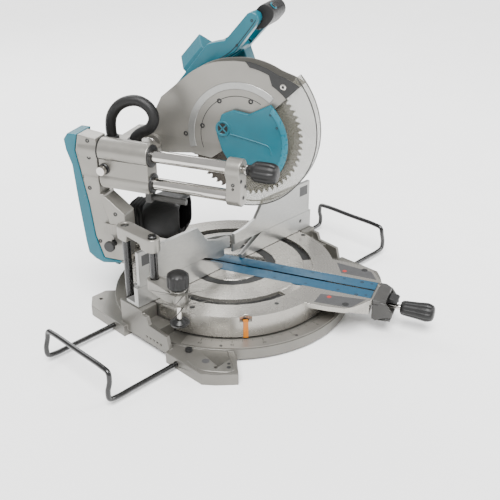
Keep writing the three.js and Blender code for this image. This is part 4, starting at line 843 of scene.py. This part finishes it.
# ---- Handle spine's seam and screws, the grip's ring, the carriage's seam and lock screw ring ----
SPINE_X = 22.3
SPINE_SEAM = [(160, 548), (140, 530), (52, 618), (8, 648), (-46, 712), (-56, 726)]
ACCENT = [(7.6, 0), (9.6, 0), (9.6, 1.0), (7.6, 1.0)]
ACCENT_AT, ACCENT_AXIS = (72, -60 - 0.66 * 31, 734 + 0.75 * 31), (0, -0.66, 0.75)
CARRIAGE_SEAM = [(28.4, 0), (30.6, 0.2), (30.6, 1.6), (28.4, 1.8)]
LOCK_RING = [(8, 0), (13.5, 0), (14, 1), (14, 5), (13, 6), (8, 6)]
seam = smooth_route([(SPINE_X - 0.1, y, z + 6) for y, z in SPINE_SEAM], 6)
made("spine_seam", tube("spine_seam", seam, 0.9, sides=8), "head", "ink")
for i, (y, z) in enumerate(((128, 552), (60, 616), (-8, 670), (-46, 730))):
    screw(f"spine_screw_{i}", (SPINE_X, y, z), (-1, 0, 0), 3.4, "head", "ink", proud=0.8)
made("grip_accent", lathe("accent", ACCENT, ACCENT_AT, ACCENT_AXIS, steps=40), "head", "teal_light")
carriage_seam = lathe("carriage_seam", CARRIAGE_SEAM, (RAILS[0], 262.1, RAILS[1]), (0, 1, 0))
made("carriage_seam", carriage_seam, "bevel", "ink")
lock_ring = lathe("lock_ring", LOCK_RING, (-195.2, 246, 402), (-1, 0, 0))
made("lock_screw_ring", lock_ring, "slide", "black_plastic")

# ---- Floor and light ----
FLOOR_HALF = 9000
WORLD_STRENGTH, SUN_ENERGY, SUN_ANGLE = 0.8, 7.5, 38
corners = [(-FLOOR_HALF, -FLOOR_HALF, 0), (FLOOR_HALF, -FLOOR_HALF, 0), (FLOOR_HALF, FLOOR_HALF, 0),
           (-FLOOR_HALF, FLOOR_HALF, 0)]
mesh = from_lists("floor", corners, [[0, 1, 2, 3]], PLAIN)
floor = bpy.data.objects.new("floor", mesh)
bpy.context.scene.collection.objects.link(floor)
mesh.materials.append(material("floor", (0.93, 0.93, 0.925), 0.8, 0, 0.01, 2, 60, 0.02))

world = bpy.data.worlds.new("studio")
world.use_nodes = True
background = world.node_tree.nodes["Background"]
background.inputs["Color"].default_value = (1, 1, 1, 1)
background.inputs["Strength"].default_value = WORLD_STRENGTH
bpy.context.scene.world = world


def light(name, kind, direction):
    """A light that points along direction."""
    data = bpy.data.lights.new(name, kind)
    obj = bpy.data.objects.new(name, data)
    bpy.context.scene.collection.objects.link(obj)
    obj.rotation_mode = "QUATERNION"
    obj.rotation_quaternion = Vector(direction).to_track_quat("-Z", "Y")
    return obj


def softbox(name, at, target, size, power):
    box = light(name, "AREA", Vector(target) - Vector(at))
    box.location = at
    box.data.shape, box.data.size, box.data.size_y, box.data.energy = "RECTANGLE", size[0], size[1], power


key = light("key", "SUN", (1.1, 0.9, -2.4))
key.data.energy, key.data.angle = SUN_ENERGY, math.radians(SUN_ANGLE)
softbox("fill", (1.9, -1.9, 1.5), (0, 0, 0.3), (1.0, 1.0), 45)
softbox("back", (0.8, 2.4, 2.2), (0, 0, 0.4), (2.4, 1.4), 60)
